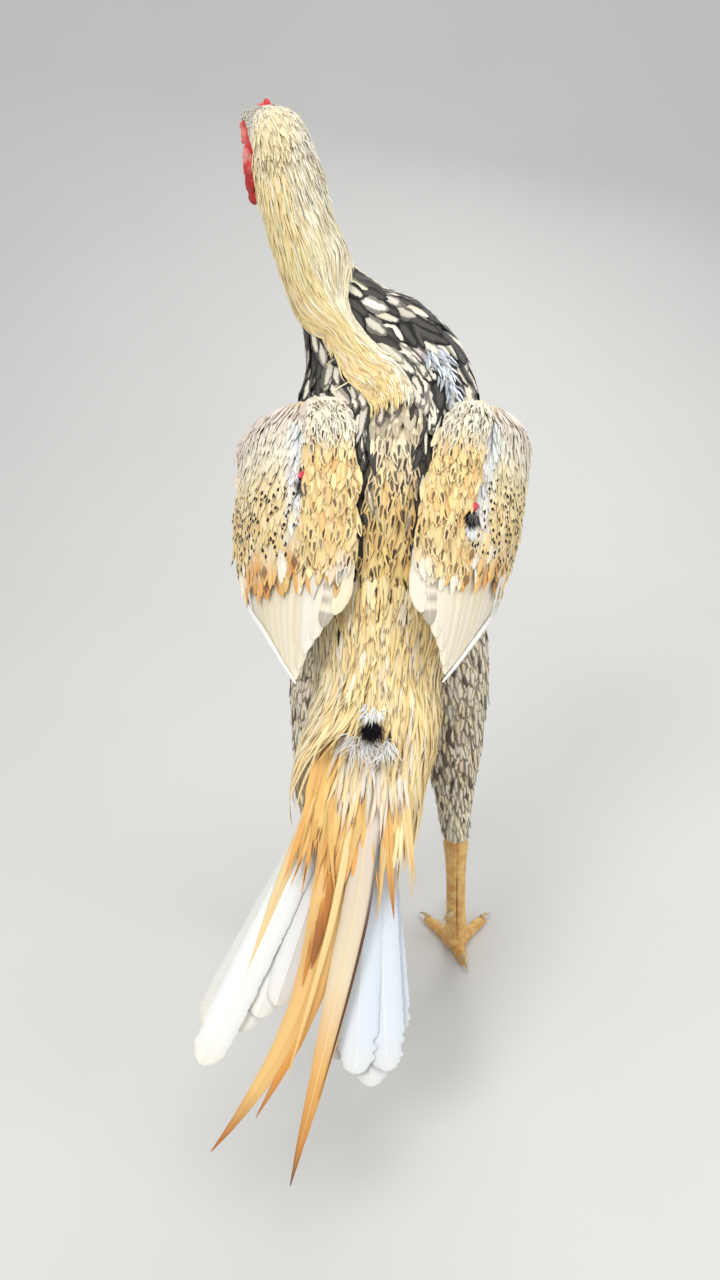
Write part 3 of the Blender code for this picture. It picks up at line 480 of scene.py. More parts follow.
def throughPoints(points, steps):
    # A smooth line through a few points, as places at equal shares of its length
    rows = np.array(points, float)
    fine = alongRows(rows, np.linspace(0, len(rows) - 1, 200))
    reached = np.concatenate([[0], np.cumsum(stepsAlong(fine))])
    even = np.linspace(0, reached[-1], steps + 1)
    return np.stack([np.interp(even, reached, fine[:, k]) for k in range(3)], -1)


def raggedRim(n, v, rim, fray, splits, tipFray):
    # Shares by which each feather's rim is torn, with more at the tip and now and then a split
    size = (n, len(v), len(rim))
    ragged = 1 + fray * rng.uniform(-1, 0.6, size) * rim
    if splits:
        cut = rng.random(size) < splits
        ragged = ragged * np.where(cut & rim, rng.uniform(0.45, 0.8, size), 1)
    ragged = ragged * (1 + tipFray * rng.uniform(-1, 0.3, size) * (v > 0.90)[:, None] * rim)
    ragged[:, 0], ragged[:, -1] = 1, 1
    return ragged


def vane(places, normals, bakeRoot, half, base, tip=None, edge=None, stops=None, shaft=None, shape="lance",
         section="thin", tilt=0.0, camber=0.14, fray=0.10, splits=0.0, tipFray=0.0, thick=0.00028, tipFrom=0.6,
         marks=(0, 0, 0, 0)):
    # A batch of feathers as arrays: closed thin bodies along the lines they are given
    n, rows = places.shape[:2]
    half, tilt, camber = each(half, n), each(tilt, n)[:, None, None], each(camber, n)[:, None, None]
    v = np.linspace(0, 1, rows)
    along = unit(np.gradient(places, axis=1))
    side = unit(np.cross(along, normals))
    normal = np.cross(side, along)
    side, normal = side * np.cos(tilt) + normal * np.sin(tilt), normal * np.cos(tilt) - side * np.sin(tilt)
    across, height = sections[section]
    m = len(across)
    widths = (half[:, None] * np.interp(v, *outlines[shape])[None, :])[..., None]
    offset = widths * across * raggedRim(n, v, np.abs(across) > 0.9, fray, splits, tipFray)
    up = thick * height - camber * widths * across**2
    points = places[:, :, None] + side[:, :, None] * offset[..., None] + normal[:, :, None] * up[..., None]
    colour = eachColour(base, n)[:, None, None, :] * np.ones((1, rows, m, 1))
    if stops is not None:
        shares = [stop[0] for stop in stops]
        line = np.stack([np.interp(v, shares, [stop[1][c] for stop in stops]) for c in range(3)], -1)
        colour = np.broadcast_to(line[None, :, None, :], colour.shape)
    layers = (
        (tip, smooth(v, tipFrom, 1.0)[:, None]),
        (edge, across**2 * smooth(v, 0.1, 0.3)[:, None]),
        (shaft, (np.abs(across) < 0.04)[None] * 1.0),
    )
    for other, share in layers:
        if other is not None:
            colour = mix(colour, eachColour(other, n)[:, None, None, :], share[None, ..., None])
    own = np.stack(np.broadcast_arrays((across * 0.5 + 0.5)[None, None, :], v[None, :, None]), -1)
    own = np.broadcast_to(own, (n, rows, m, 2))
    gone = np.concatenate([np.zeros((n, 1)), np.cumsum(stepsAlong(places), 1)], 1)[..., None] + np.zeros(m)
    ownStart = rng.random((n, 1, 1))  # each feather has its own barbs
    marks = np.broadcast_to(np.asarray(marks, float), (n, 4))[:, None, None, :]
    return dict(
        points=points,
        colour=np.concatenate([colour, np.ones(colour.shape[:-1] + (1,))], -1),
        marks=np.broadcast_to(marks, (n, rows, m, 4)),
        own=own,
        barbs=np.stack([offset * 100, gone * 100 + ownStart * 40], -1),
        bake=bakeRoot[:, None, None, :] + (own - 0.5) * 0.003,
    )


def feathers(where, a, b, length, half, base, **looks):
    # A vane over each line of a walk, which takes its own words out of the looks
    words = ("steps", "heading", "bend", "rise", "lift", "flutter", "flow")
    path = {word: looks.pop(word) for word in words if word in looks}
    return vane(half=half, base=base, **walk(where, a, b, length, **path), **looks)


def coatFaces(n, rows, m, start):
    # Quads round each feather and one face over each end, as vertex numbers
    feather = np.arange(n)[:, None, None] * rows * m
    k = np.arange(rows - 1)[None, :, None] * m
    j, after = np.arange(m)[None, None, :], (np.arange(m)[None, None, :] + 1) % m
    quads = np.stack([feather + k + j, feather + k + after, feather + k + m + after, feather + k + m + j], -1)
    ends = np.arange(n)[:, None] * rows * m
    first = ends + np.arange(m)[None, ::-1]
    last = ends + (rows - 1) * m + np.arange(m)[None, :]
    return start + quads.reshape(-1, 4), start + np.concatenate([first, last])


def fill(data, field, values, kind=np.float32):
    data.foreach_set(field, np.ascontiguousarray(values, dtype=kind).ravel())


def makeCoat(name, batches, material, sharp=50):
    loops, totals, start = [], [], 0
    for batch in batches:
        n, rows, m = batch["points"].shape[:3]
        quads, caps = coatFaces(n, rows, m, start)
        loops += [quads.ravel(), caps.ravel()]
        totals += [np.full(len(quads), 4), np.full(len(caps), m)]
        start += n * rows * m
    loops, totals = np.concatenate(loops), np.concatenate(totals)
    stack = {key: np.concatenate([b[key].reshape(-1, b[key].shape[-1]) for b in batches]) for key in batches[0]}
    mesh = bpy.data.meshes.new(name)
    mesh.vertices.add(start)
    mesh.loops.add(len(loops))
    mesh.polygons.add(len(totals))
    fill(mesh.vertices, "co", stack["points"])
    fill(mesh.loops, "vertex_index", loops, np.int32)
    fill(mesh.polygons, "loop_start", np.cumsum(totals) - totals, np.int32)
    fill(mesh.polygons, "loop_total", totals, np.int32)
    for layer, key in (("OFBake", "bake"), ("feather", "own"), ("barbs", "barbs")):
        fill(mesh.uv_layers.new(name=layer).data, "uv", stack[key][loops])
    for layer in ("colour", "marks"):
        fill(mesh.attributes.new(layer, "FLOAT_COLOR", "POINT").data, "color", stack[layer])
    mesh.update(calc_edges=True)
    mesh.validate()
    mesh.shade_smooth()
    mesh.set_sharp_from_angle(angle=math.radians(sharp))
    obj = bpy.data.objects.new(name, mesh)
    bpy.context.scene.collection.objects.link(obj)
    mesh.materials.append(material)
    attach(obj, "root")
    print(f"{name}: {int((totals - 2).sum())} triangles")
    return obj


def newMaterial(name, **values):
    material = bpy.data.materials.new(name)
    material.use_nodes = True
    tree = material.node_tree
    shader = tree.nodes["Principled BSDF"]
    feed(tree, shader, values)
    return material, tree, shader


def feed(tree, node, values):
    # Sets or joins a node's sockets, by name or number
    for key, value in values.items():
        if isinstance(value, bpy.types.NodeSocket):
            tree.links.new(value, node.inputs[key])
        else:
            node.inputs[key].default_value = value


def addNode(tree, kind, values=None, out=0, **fields):
    # A new node, as the one of its sockets that is wanted
    node = tree.nodes.new("ShaderNode" + kind)
    for key, value in fields.items():
        setattr(node, key, value)
    feed(tree, node, values or {})
    return node.outputs[out]


def mathNode(tree, operation, *inputs, clamp=False):
    return addNode(tree, "Math", dict(enumerate(inputs)), operation=operation, use_clamp=clamp)


def rampBetween(tree, value, low, high):
    ends = {"Value": value, "From Min": low, "From Max": high}
    return addNode(tree, "MapRange", ends, "Result", interpolation_type="SMOOTHSTEP")


def mixColour(tree, share, first, second):
    return addNode(tree, "Mix", {0: share, 6: first, 7: second}, 2, data_type="RGBA")


def scaled(tree, colour, amount):
    return addNode(tree, "VectorMath", {0: colour, "Scale": amount}, operation="SCALE")


def addBump(tree, shader, height, strength, distance):
    values = {"Height": height, "Strength": strength, "Distance": distance}
    feed(tree, shader, {"Normal": addNode(tree, "Bump", values)})


def featherMaterial(name, roughness, sheen, slant, streak, contrast=0.45, dashes=(0.60, 0.96)):
    # Base colours and marks come with each feather. Its barbs run out from the shaft, slant times as far
    # along as across, and shade the colour in fine streaks
    material, tree, shader = newMaterial(name)

    def value(operation, *inputs, clamp=False):
        return mathNode(tree, operation, *inputs, clamp=clamp)

    def uvParts(layer):
        apart = addNode(tree, "SeparateXYZ", {0: addNode(tree, "UVMap", uv_map=layer)}).node
        return apart.outputs[0], apart.outputs[1]

    shareX, along = uvParts("feather")
    across = value("ABSOLUTE", value("MULTIPLY_ADD", shareX, 2.0, -1.0))
    outX, alongY = uvParts("barbs")  # in centimetres
    away = value("ABSOLUTE", outX)
    marks = addNode(tree, "Attribute", attribute_name="marks").node
    kind = addNode(tree, "SeparateColor", {0: marks.outputs["Color"]}).node
    barb = value("SUBTRACT", alongY, value("MULTIPLY", away, slant))

    def lineNoise(scale, detail, offset):
        values = {"W": value("ADD", barb, offset), "Scale": scale, "Detail": detail}
        return addNode(tree, "TexNoise", values, noise_dimensions="1D")

    coarse, fine = lineNoise(streak, 2.0, 0.0), lineNoise(streak * 5.0, 1.0, 7.3)
    lines = value("ADD", value("MULTIPLY", coarse, 0.50), value("MULTIPLY", fine, 0.50))
    shade = value("MULTIPLY_ADD", lines, contrast, 1.0 - contrast / 2)
    shade = value("MULTIPLY_ADD", value("POWER", across, 3.0), -0.14, shade)
    shade = value("MULTIPLY_ADD", rampBetween(tree, away, 0.022, 0.010), 0.10, shade)
    streaked = scaled(tree, addNode(tree, "Attribute", out="Color", attribute_name="colour"), shade)

    # a dot near the tip, a dash along the shaft, and lacing round the edge with a dark root
    wobble = value("ADD", lines, -0.5)

    def torn(amount, distance):
        return value("MULTIPLY_ADD", wobble, amount, distance)

    dotAway = value("ADD", value("MULTIPLY", across, 0.10), value("ABSOLUTE", value("ADD", along, -0.85)))
    dot = rampBetween(tree, torn(0.04, dotAway), 0.108, 0.085)
    first, last = dashes
    thin = rampBetween(tree, torn(0.5, across), 0.50, 0.36)
    span = value("MULTIPLY", rampBetween(tree, torn(0.2, along), first, first + 0.06),
                 rampBetween(tree, along, last, last - 0.05))
    tipwards, rootwards = value("MULTIPLY_ADD", along, 3.0, -2.25), value("MULTIPLY_ADD", along, -1.4, 0.80)
    rim = value("MAXIMUM", value("MAXIMUM", across, tipwards), rootwards)
    # lace over 1 leaves a narrower middle
    narrower = value("MULTIPLY", value("SUBTRACT", kind.outputs[2], 1.0, clamp=True), 0.35)
    lace = rampBetween(tree, torn(0.7, value("ADD", rim, narrower)), 0.36, 0.56)
    forms = (dot, value("MULTIPLY", thin, span), lace)
    amounts = [value("MULTIPLY", form, amount, clamp=True) for form, amount in zip(forms, kind.outputs)]
    darkest = value("MAXIMUM", value("MAXIMUM", amounts[0], amounts[1]), amounts[2])
    markColour = mixColour(tree, marks.outputs["Alpha"], (*pigment["black"], 1), (*pigment["umber"], 1))
    feed(tree, shader, {
        "Base Color": mixColour(tree, darkest, streaked, markColour),
        "Roughness": roughness,
        "Sheen Weight": sheen,
        "Sheen Roughness": 0.4,
        "Specular IOR Level": 0.30,
    })
    addBump(tree, shader, lines, 0.45, 0.0003)
    return material


plumage = {
    "hackle": featherMaterial("hacklePlumage", 0.58, 0.25, 4.5, 8.0, dashes=(0.76, 0.94)),
    "body": featherMaterial("bodyPlumage", 0.62, 0.20, 1.6, 9.0),
    "wing": featherMaterial("wingPlumage", 0.60, 0.25, 1.5, 9.0),
    "quill": featherMaterial("quillPlumage", 0.55, 0.20, 3.0, 5.0, 0.26),
    "down": featherMaterial("downPlumage", 0.90, 0.0, 1.0, 5.0, 0.1),
}


def jitter(colour, n, amount=0.10):
    # Each feather's own shade of a colour, lighter or darker and a little warmer or cooler
    value = 1 + rng.normal(0, amount, (n, 1))
    warm = 1 + rng.normal(0, amount * 0.25, (n, 3))
    return np.clip(eachColour(colour, n) * value * warm, 0.004, 0.95)


def kinds(n, dot=0, dash=0, lace=0, brown=0):
    return np.stack([each(x, n) for x in (dot, dash, lace, brown)], -1)


def coverRows(where, first, last, rowStep, spacing, from_, to_):
    # Roots in staggered rows over part of a surface, as two arrays. Spacing is in metres both ways
    at, small = surfaces[where]["at"], surfaces[where]["eps"][0]
    angles = np.linspace(from_, to_, 60)
    listA, listB = [], []
    a, row = first, 0
    going = 1 if last > first else -1
    while (last - a) * going > 0:
        line, ahead = (at(np.full(60, a + more), angles, np.zeros(60)) for more in (0, small))
        reached = np.concatenate([[0], np.cumsum(stepsAlong(line))])
        count = max(int(reached[-1] / spacing), 1)
        slots = (np.arange(count) + (0.25 if row % 2 else 0.75)) / count
        slots = np.clip(slots + rng.normal(0, 0.16 / count, count), 0, 1)
        listB.append(np.interp(slots * reached[-1], reached, angles))
        slope = np.median(np.linalg.norm(ahead - line, axis=1)) / small
        listA.append(a + rng.normal(0, 0.16, count) * rowStep / slope)
        a += going * rowStep / slope
        row += 1
    return np.concatenate(listA), np.concatenate(listB)


def tuft(centre, normal, down, radius, length, count, colour, half=0.00032, droop=0.8, rise=0.6):
    # Loose down: fine strands that spring from a small patch and fall to one side
    side = unit(np.cross(normal, down))
    turn = rng.uniform(0, fullTurn, count)
    reach = np.sqrt(rng.random(count)) * radius
    roots = centre + side * (reach * np.cos(turn))[:, None] + down * (reach * np.sin(turn))[:, None] * 1.3
    fan = side * (np.cos(turn) * 0.5)[:, None] + down * (droop + 0.4 * np.sin(turn))[:, None]
    fan = fan + side * rng.normal(0, 0.25, (count, 1)) + down * rng.normal(0, 0.2, (count, 1))
    size = length * rng.uniform(0.6, 1.15, (count, 1, 1))
    v = np.linspace(0, 1, 5)[None, :, None]
    wave = side * rng.normal(0, 0.10, (count, 1, 1)) * np.sin(v * rng.uniform(3, 8, (count, 1, 1)))
    lift = normal * (rise * (1.9 * v - 1.3 * v * v))
    places = roots[:, None] + size * (unit(fan)[:, None] * v + lift + wave)
    normals = np.broadcast_to(normal, places.shape)
    bake = np.tile(unwrap(surfaces["tail"], vec(0.02), vec(0.0)), (count, 1))
    bake = bake + rng.uniform(-0.004, 0.004, (count, 2))
    return vane(places, normals, bake, rng.uniform(0.7, 1.3, count) * half, jitter(colour, count, 0.12),
                shape="hair", section="strand", thick=half * 0.8, camber=0, fray=0)


neckCoat = dict(
    rows=0.0030,
    spacing=0.0016,
    half=(0.0009, 0.0017),
    sweep=1.9,  # how far round from the nape
    length=((6.5, 7.2, 8.2, 9.2, 10.5, 12.5, 13.6, 14.7),
            (0.028, 0.032, 0.040, 0.050, 0.056, 0.044, 0.028, 0.013)),
)


def neckColours(station, angle):
    # Yellow cream on the bird's left of the nape, whitish with grey flecks on its right, pearly at the crown
    n = len(station)
    toRight = smooth(np.cos(angle), -0.25, 0.65)
    colour = mix(pigment["cream"], pigment["paleCream"], (toRight * 0.85)[:, None])
    colour = mix(colour, pigment["pearl"], (smooth(station, 13.4, 14.8) * 0.5)[:, None])
    warm = smooth(-station, -11.8, -8.5) * (1 - toRight)
    streak = rng.random(n)
    colour = mix(colour, pigment["gold"], (warm * 0.25 + (streak < 0.14) * 0.30)[:, None])
    colour = mix(colour, pigment["white"], ((streak > 0.86) * 0.5)[:, None])
    fleck = rng.random(n) < mix(0.05, 0.20, toRight)
    return np.where(fleck[:, None], mix(colour, pigment["olive"], 0.40), colour)


def growNeck():
    sweep = neckCoat["sweep"]
    a, b = coverRows("cape", 6.4, 14.75, neckCoat["rows"], neckCoat["spacing"],
                     math.pi / 2 - sweep, math.pi / 2 + sweep)
    keep = np.abs(b - math.pi / 2) < np.interp(a, (12.4, 13.0, 14.0), (sweep, 1.62, 1.42))  # bare at the throat
    a, b = a[keep], b[keep]
    n = len(a)
    length = np.interp(a, *neckCoat["length"]) * rng.uniform(0.75, 1.15, n)
    half = rng.uniform(*neckCoat["half"], n) * np.interp(a, (7.4, 12.5, 14.6), (1.25, 1.0, 0.7))
    base = jitter(neckColours(a, b) * 1.10, n, 0.08)
    dashed = rng.random(n) < np.interp(a, (7.5, 9, 11, 14), (0.22, 0.12, 0.07, 0.05))
    marks = kinds(n, dash=dashed * rng.uniform(0.3, 0.9, n), brown=0.7)
    batches = [feathers("cape", a, b, length, half, base, steps=7, tip=base * vec(0.97, 0.93, 0.84), section="ridge",
                        heading=rng.normal(0, 0.06, n), bend=rng.normal(0, 0.07, n),
                        rise=(-0.0034, 0.0022, 0.0042, 0.0048), lift=-0.0032 * smooth(a, 13.6, 14.6), flutter=0.0009,
                        camber=0.09, thick=0.0002, tilt=rng.normal(0, 0.09, n), fray=0.3, marks=marks)]
    # the front of the neck, below the bare throat
    a, b = coverRows("trunk", 8.8, 12.4, 0.0048, 0.0032, math.pi / 2 + 1.72, math.pi / 2 + 4.56)
    n = len(a)
    length = np.interp(a, (8.8, 10.5, 12.4), (0.042, 0.034, 0.014)) * rng.uniform(0.85, 1.1, n)
    lace = smooth(-a, -10.6, -9.4)
    half = rng.uniform(0.0014, 0.0023, n) * np.interp(a, (10, 12.4), (1, 0.6))
    batches.append(feathers("trunk", a, b, length, half, jitter(neckColours(a, b), n, 0.08), fray=0.3, section="ridge",
                            heading=rng.normal(0, 0.07, n), rise=(-0.0034, 0.0022, 0.0040),
                            tilt=rng.normal(0, 0.12, n),
                            marks=kinds(n, dash=(rng.random(n) < 0.4) * (1 - lace) * 0.8, lace=lace * 0.9, brown=0.3)))
    makeCoat("neckHackles", batches, plumage["hackle"])


bodyCoat = dict(rows=0.0068, spacing=0.0054, shoulderRows=0.0125, shoulderSpacing=0.0086)


def torsoLook(a, b):
    # A golden strip down the back between the wings, black at its sides, and black laced with cream elsewhere
    n = len(a)
    offset = np.abs(fromBack(b))
    reach = np.radians(np.interp(a, (0, 2, 2.6, 3, 4, 5, 6), (95, 75, 44, 27, 18, 15, 15)))
    golden = smooth(reach - offset, -0.05, 0.05) * smooth(-a, -6.6, -5.4)
    high = smooth(a, 4.2, 5.4)
    pale = mix(pigment["chalk"], pigment["paleCream"], rng.random((n, 1)))
    base = mix(pale, mix(pigment["gold"], pigment["cream"], rng.random((n, 1)) * 0.40), golden[:, None])
    base = mix(base, pigment["paleCream"], (high * golden * 0.6)[:, None])
    gap = (1 - golden) * smooth(math.radians(100) - offset, -0.2, 0.2) * smooth(-a, -6.0, -5.0)
    shoulder = smooth(a, 6.0, 6.8)
    black = (rng.random(n) < np.maximum(mix(0.18, 0.92, gap), shoulder * 0.34)) & (golden < 0.5)
    base = np.where(black[:, None], mix(base, pigment["black"], 0.92), base)
    lace = (1 - golden) * mix(rng.uniform(0.6, 1.1, n), rng.uniform(0.55, 1.05, n), shoulder)
    often = np.interp(a, (0, 1.5, 2.5, 3.5, 5.5), (0.45, 0.65, 0.80, 0.85, 0.95))
    dash = golden * (rng.random(n) < often) * rng.uniform(0.75, 1, n)
    return jitter(base, n, 0.08), kinds(n, dash=dash, lace=lace, brown=golden * 0.12)


def growTorso():
    c = bodyCoat
    parts = (("bodyFeathers", -0.3, 6.3, c["rows"], c["spacing"], 1.0),
             ("shoulderFeathers", 6.1, 10.3, c["shoulderRows"], c["shoulderSpacing"], 1.95))
    for name, first, last, rows, spacing, size in parts:
        a, b = coverRows("trunk", first, last, rows, spacing, 0, fullTurn)
        offset = np.abs(fromBack(b))
        keep = ~((a > 8.8) & (offset < 0.3))
        a, b, offset = a[keep], b[keep], offset[keep]
        n = len(a)
        base, marks = torsoLook(a, b)
        length = np.interp(a, (0, 3, 5.5, 8, 10.3), (0.036, 0.033, 0.034, 0.040, 0.032))
        length = length * rng.uniform(0.8, 1.15, n)
        half = mix(0.0042, 0.0032, smooth(1.3 - offset, 0, 0.5)) * size * rng.uniform(0.8, 1.2, n)
        batch = feathers("trunk", a, b, length, half, base, heading=rng.normal(0, 0.13, n),
                         bend=rng.normal(0, 0.2, n), shape="body", section="ridge", fray=0.22, flutter=0.0008,
                         rise=(-0.0042, 0.0, 0.0016, 0.0020), marks=marks, tilt=rng.normal(0, 0.13, n))
        makeCoat(name, [batch], plumage["body"])


def saddleFlow(share, angle):
    # The saddle parts over the tail: its left half sweeps out, its right half hangs nearly straight
    low = smooth(-share, -0.16, 0.10)
    left = smooth(angle - math.pi / 2, 0.0, 0.8)
    right = smooth(math.pi / 2 - angle, 0.0, 0.8)
    return low * (0.60 * left - 0.20 * right)


def growSaddle():
    batches = []
    for lift, spacing in ((0.0, 0.0027), (0.0018, 0.0031)):
        a, b = coverRows("saddle", -0.06, 0.42, 0.0062, spacing, math.radians(-4), math.radians(184))
        middle = np.abs(b - math.pi / 2 - 0.05) < 0.52
        keep = ~(middle & (a < 0.055 + 0.04 * rng.random(len(a))))
        a, b, middle = a[keep], b[keep], middle[keep]
        n = len(a)
        right = smooth(math.pi / 2 - b, 0.2, 0.9)
        length = np.interp(a, (-0.06, 0.1, 0.42), (0.080, 0.078, 0.040)) * rng.uniform(0.75, 1.15, n)
        length = length * mix(1.0, 1.28, right * smooth(-a, -0.2, 0.0)) * np.where(middle, 0.80, 1.0)
        base = mix(pigment["cream"], pigment["gold"], rng.random((n, 1)) * 0.65) * 1.08
        base = mix(base, pigment["paleCream"] * 1.06, smooth(b - math.pi / 2, 0.4, 1.3)[:, None] * 0.65)
        pale = (rng.random(n) < 0.18)[:, None]
        base = np.where(pale, mix(base, pigment["white"], 0.5), base)
        dashes = (rng.random(n) < 0.60) * smooth(a, 0.02, 0.12) * rng.uniform(0.8, 1, n)
        half = rng.uniform(0.0012, 0.0023, n)
        batches.append(feathers("saddle", a, b, length, half, jitter(base, n, 0.07), steps=9, section="ridge",
                                tip=jitter(base * vec(1.0, 0.95, 0.86), n, 0.05), heading=rng.normal(0, 0.10, n),
                                bend=rng.normal(0, 0.16, n), flow=saddleFlow, rise=(-0.003, 0.0006, 0.0022, 0.0026),
                                lift=lift, tilt=rng.normal(0, 0.08, n), fray=0.3, flutter=0.0008, camber=0.09,
                                thick=0.0002, marks=kinds(n, dash=dashes, brown=0.25)))
    makeCoat("saddleHackles", batches, plumage["hackle"])


crownCoat = dict(
    rays=9500,
    steps=5,
    bareFrom=((-0.022, -0.008, 0.006, 0.012, 0.017, 0.021), (-0.020, -0.013, -0.008, -0.001, 0.008, 0.010)),
    length=(0.0046, 0.0190),  # on the crown and behind it
    tipRise=(0.0017, 0.0036),
)


def growHead(skin):
    # Tiny feathers over the crown and nape, set straight on the skin and lying back and down
    tree = BVHTree.FromObject(skin, bpy.context.evaluated_depsgraph_get())
    k = np.arange(crownCoat["rays"]) + 0.5
    z = 1 - 2 * k / crownCoat["rays"]
    turn = k * math.pi * (3 - math.sqrt(5))
    rays = np.stack([np.sqrt(1 - z * z) * np.cos(turn), np.sqrt(1 - z * z) * np.sin(turn), z], -1)
    rays = rays + rng.normal(0, 0.008, rays.shape)
    fall = unit(alongRows(trunkRows, vec(12.0))[0, :3] - alongRows(trunkRows, vec(14.4))[0, :3])
    places, normals, roots = [], [], []
    steps = crownCoat["steps"]
    for ray in unit(rays):
        hit = tree.ray_cast(Vector(skull + ray * 0.06), Vector(-ray), 0.06)
        if hit[0] is None:
            continue
        p = np.array(hit[0])
        forward, side, up = ((p - skull) @ axis for axis in (headForward, headSide, headUp))
        bareFrom = np.interp(up, *crownCoat["bareFrom"])
        bareFrom += 0.0035 if side < 0 and up > -0.012 else 0.0
        onComb = forward > -0.001 and abs(side + 0.003) < 0.0095
        if forward > bareFrom + rng.normal(0, 0.0006) or onComb:
            continue
        behind = float(smooth(-forward, 0.004, 0.020))
        roots.append((forward, math.atan2(up, side) % (2 * math.pi), side, behind))
        aim = unit(mix(-headForward, fall, behind) + rng.normal(0, 0.12, 3))
        length = mix(*crownCoat["length"], behind) * rng.uniform(0.8, 1.2)
        tipRise = mix(*crownCoat["tipRise"], behind)
        line, out = [], []
        for s in range(steps + 1):
            near, normal, _, _ = tree.find_nearest(Vector(p))
            near, n = np.array(near), np.array(normal)
            near = near + n * max((p - near) @ n, 0) * behind  # the nape's pass straight over the hollow below
            line.append(near + n * np.interp(s / steps, (0, 0.4, 1), (-0.0010, tipRise * 0.5, tipRise)))
            out.append(n)
            p = near + unit(aim - n * (aim @ n) * (1 - behind)) * length / steps
        places.append(line)
        normals.append(out)
    places, normals, roots = np.array(places), np.array(normals), np.array(roots)
    n = len(places)
    toRight, behind = smooth(roots[:, 2], -0.008, 0.014), roots[:, 3]
    base = mix(pigment["paleCream"], pigment["pearl"], 0.35 + 0.65 * rng.random((n, 1)))
    nape = mix(pigment["cream"], pigment["paleCream"], toRight[:, None]) * 1.08
    base = mix(base, nape, (behind**2 * 0.8)[:, None])
    grey = rng.random(n) < mix(0.10, 0.24, toRight)
    base = np.where(grey[:, None], mix(base, pigment["slate"], 0.35), base)
    rim = mix(base, pigment["slate"], (0.55 * (1 - 0.6 * behind) * mix(0.6, 1.0, toRight))[:, None])
    half = rng.uniform(0.0007, 0.0011, n) * mix(1.0, 1.3, behind)
    batch = vane(places, normals, unwrap(surfaces["head"], roots[:, 0], roots[:, 1]), half, jitter(base, n, 0.06),
                 edge=rim, shape="round", section="ridge", tilt=rng.normal(0, 0.14, n), fray=0.2, thick=0.00022)
    makeCoat("crownFeathers", [batch], plumage["body"])


wingCoat = dict(
    flights=13,
    rows=0.0050,
    spacing=0.0039,
    spots={"left": (0.32, -0.30), "right": (0.43, -0.36)},  # bare patches: along the wing and across it
    leading=((0.56, 0.97), (0.64, 0.97), (0.70, 0.94), (0.75, 0.84), (0.81, 0.62), (0.94, 0.24), (1.01, -0.30)),
)


def wingTones(share, q, n):
    # Whitish shoulder, golden cream with dots below it, white beside the crease and a golden inner lobe
    outer = smooth(q, -0.36, -0.24)
    base = mix(pigment["blush"], pigment["paleCream"], (smooth(share, 0.02, 0.12) * 0.8)[:, None])
    base = mix(base, pigment["cream"], (smooth(share, 0.12, 0.26) * (0.7 + 0.3 * rng.random(n)))[:, None])
    warmth = smooth(share, 0.20, 0.40) * 0.75 * rng.random(n)
    warmth = warmth + smooth(q, 0.5, 1) * smooth(share, 0.1, 0.25) * 0.25
    base = mix(base, pigment["gold"], warmth[:, None])
    crease = hump(q, -0.24, 0.14) * smooth(share, 0.03, 0.12) * smooth(-share, -0.50, -0.38)
    base = mix(base, mix(pigment["white"], pigment["blueWhite"], 0.4), (crease * 0.9)[:, None])
    low = smooth(share, 0.09, 0.20)[:, None]
    inner = mix(pigment["gold"], pigment["cream"], 0.25 + 0.6 * rng.random((n, 1)))
    inner = mix(pigment["paleCream"], inner, low)
    inner = mix(inner, pigment["orange"], low * (rng.random((n, 1)) < 0.25) * 0.30)
    inner = mix(inner, pigment["white"], (smooth(share, 0.48, 0.58) * smooth(-q, 0.65, 0.90))[:, None] * 0.8)
    base = mix(inner, base, outer[:, None])
    dot = outer * smooth(share, 0.19, 0.25) * smooth(0.72 - share, 0, 0.04) * (rng.random(n) < 0.54)
    streaks = (rng.random(n) < 0.34) * smooth(-share, -0.13, -0.04) * 0.6
    flecks = (1 - outer) * (rng.random(n) < mix(0.90, 0.45, low[:, 0])) * rng.uniform(0.5, 1, n)
    fine = outer * (rng.random(n) < 0.20) * smooth(-share, -0.27, -0.2) * 0.30
    dash = np.maximum(np.maximum(flecks, outer * streaks), fine)
    brown = np.where(outer > 0.5, np.where(share < 0.25, 0.8, 0.15), np.where(share < 0.20, 0.35, 0.6))
    return jitter(base, n, 0.07), kinds(n, dot=dot, dash=dash, brown=brown)


def wingFlow(share, q):
    # Feathers fan out over the shoulder and draw in again towards the tip
    return 0.22 * q * smooth(-share, -0.25, -0.02) - 0.16 * q * smooth(share, 0.3, 0.7)


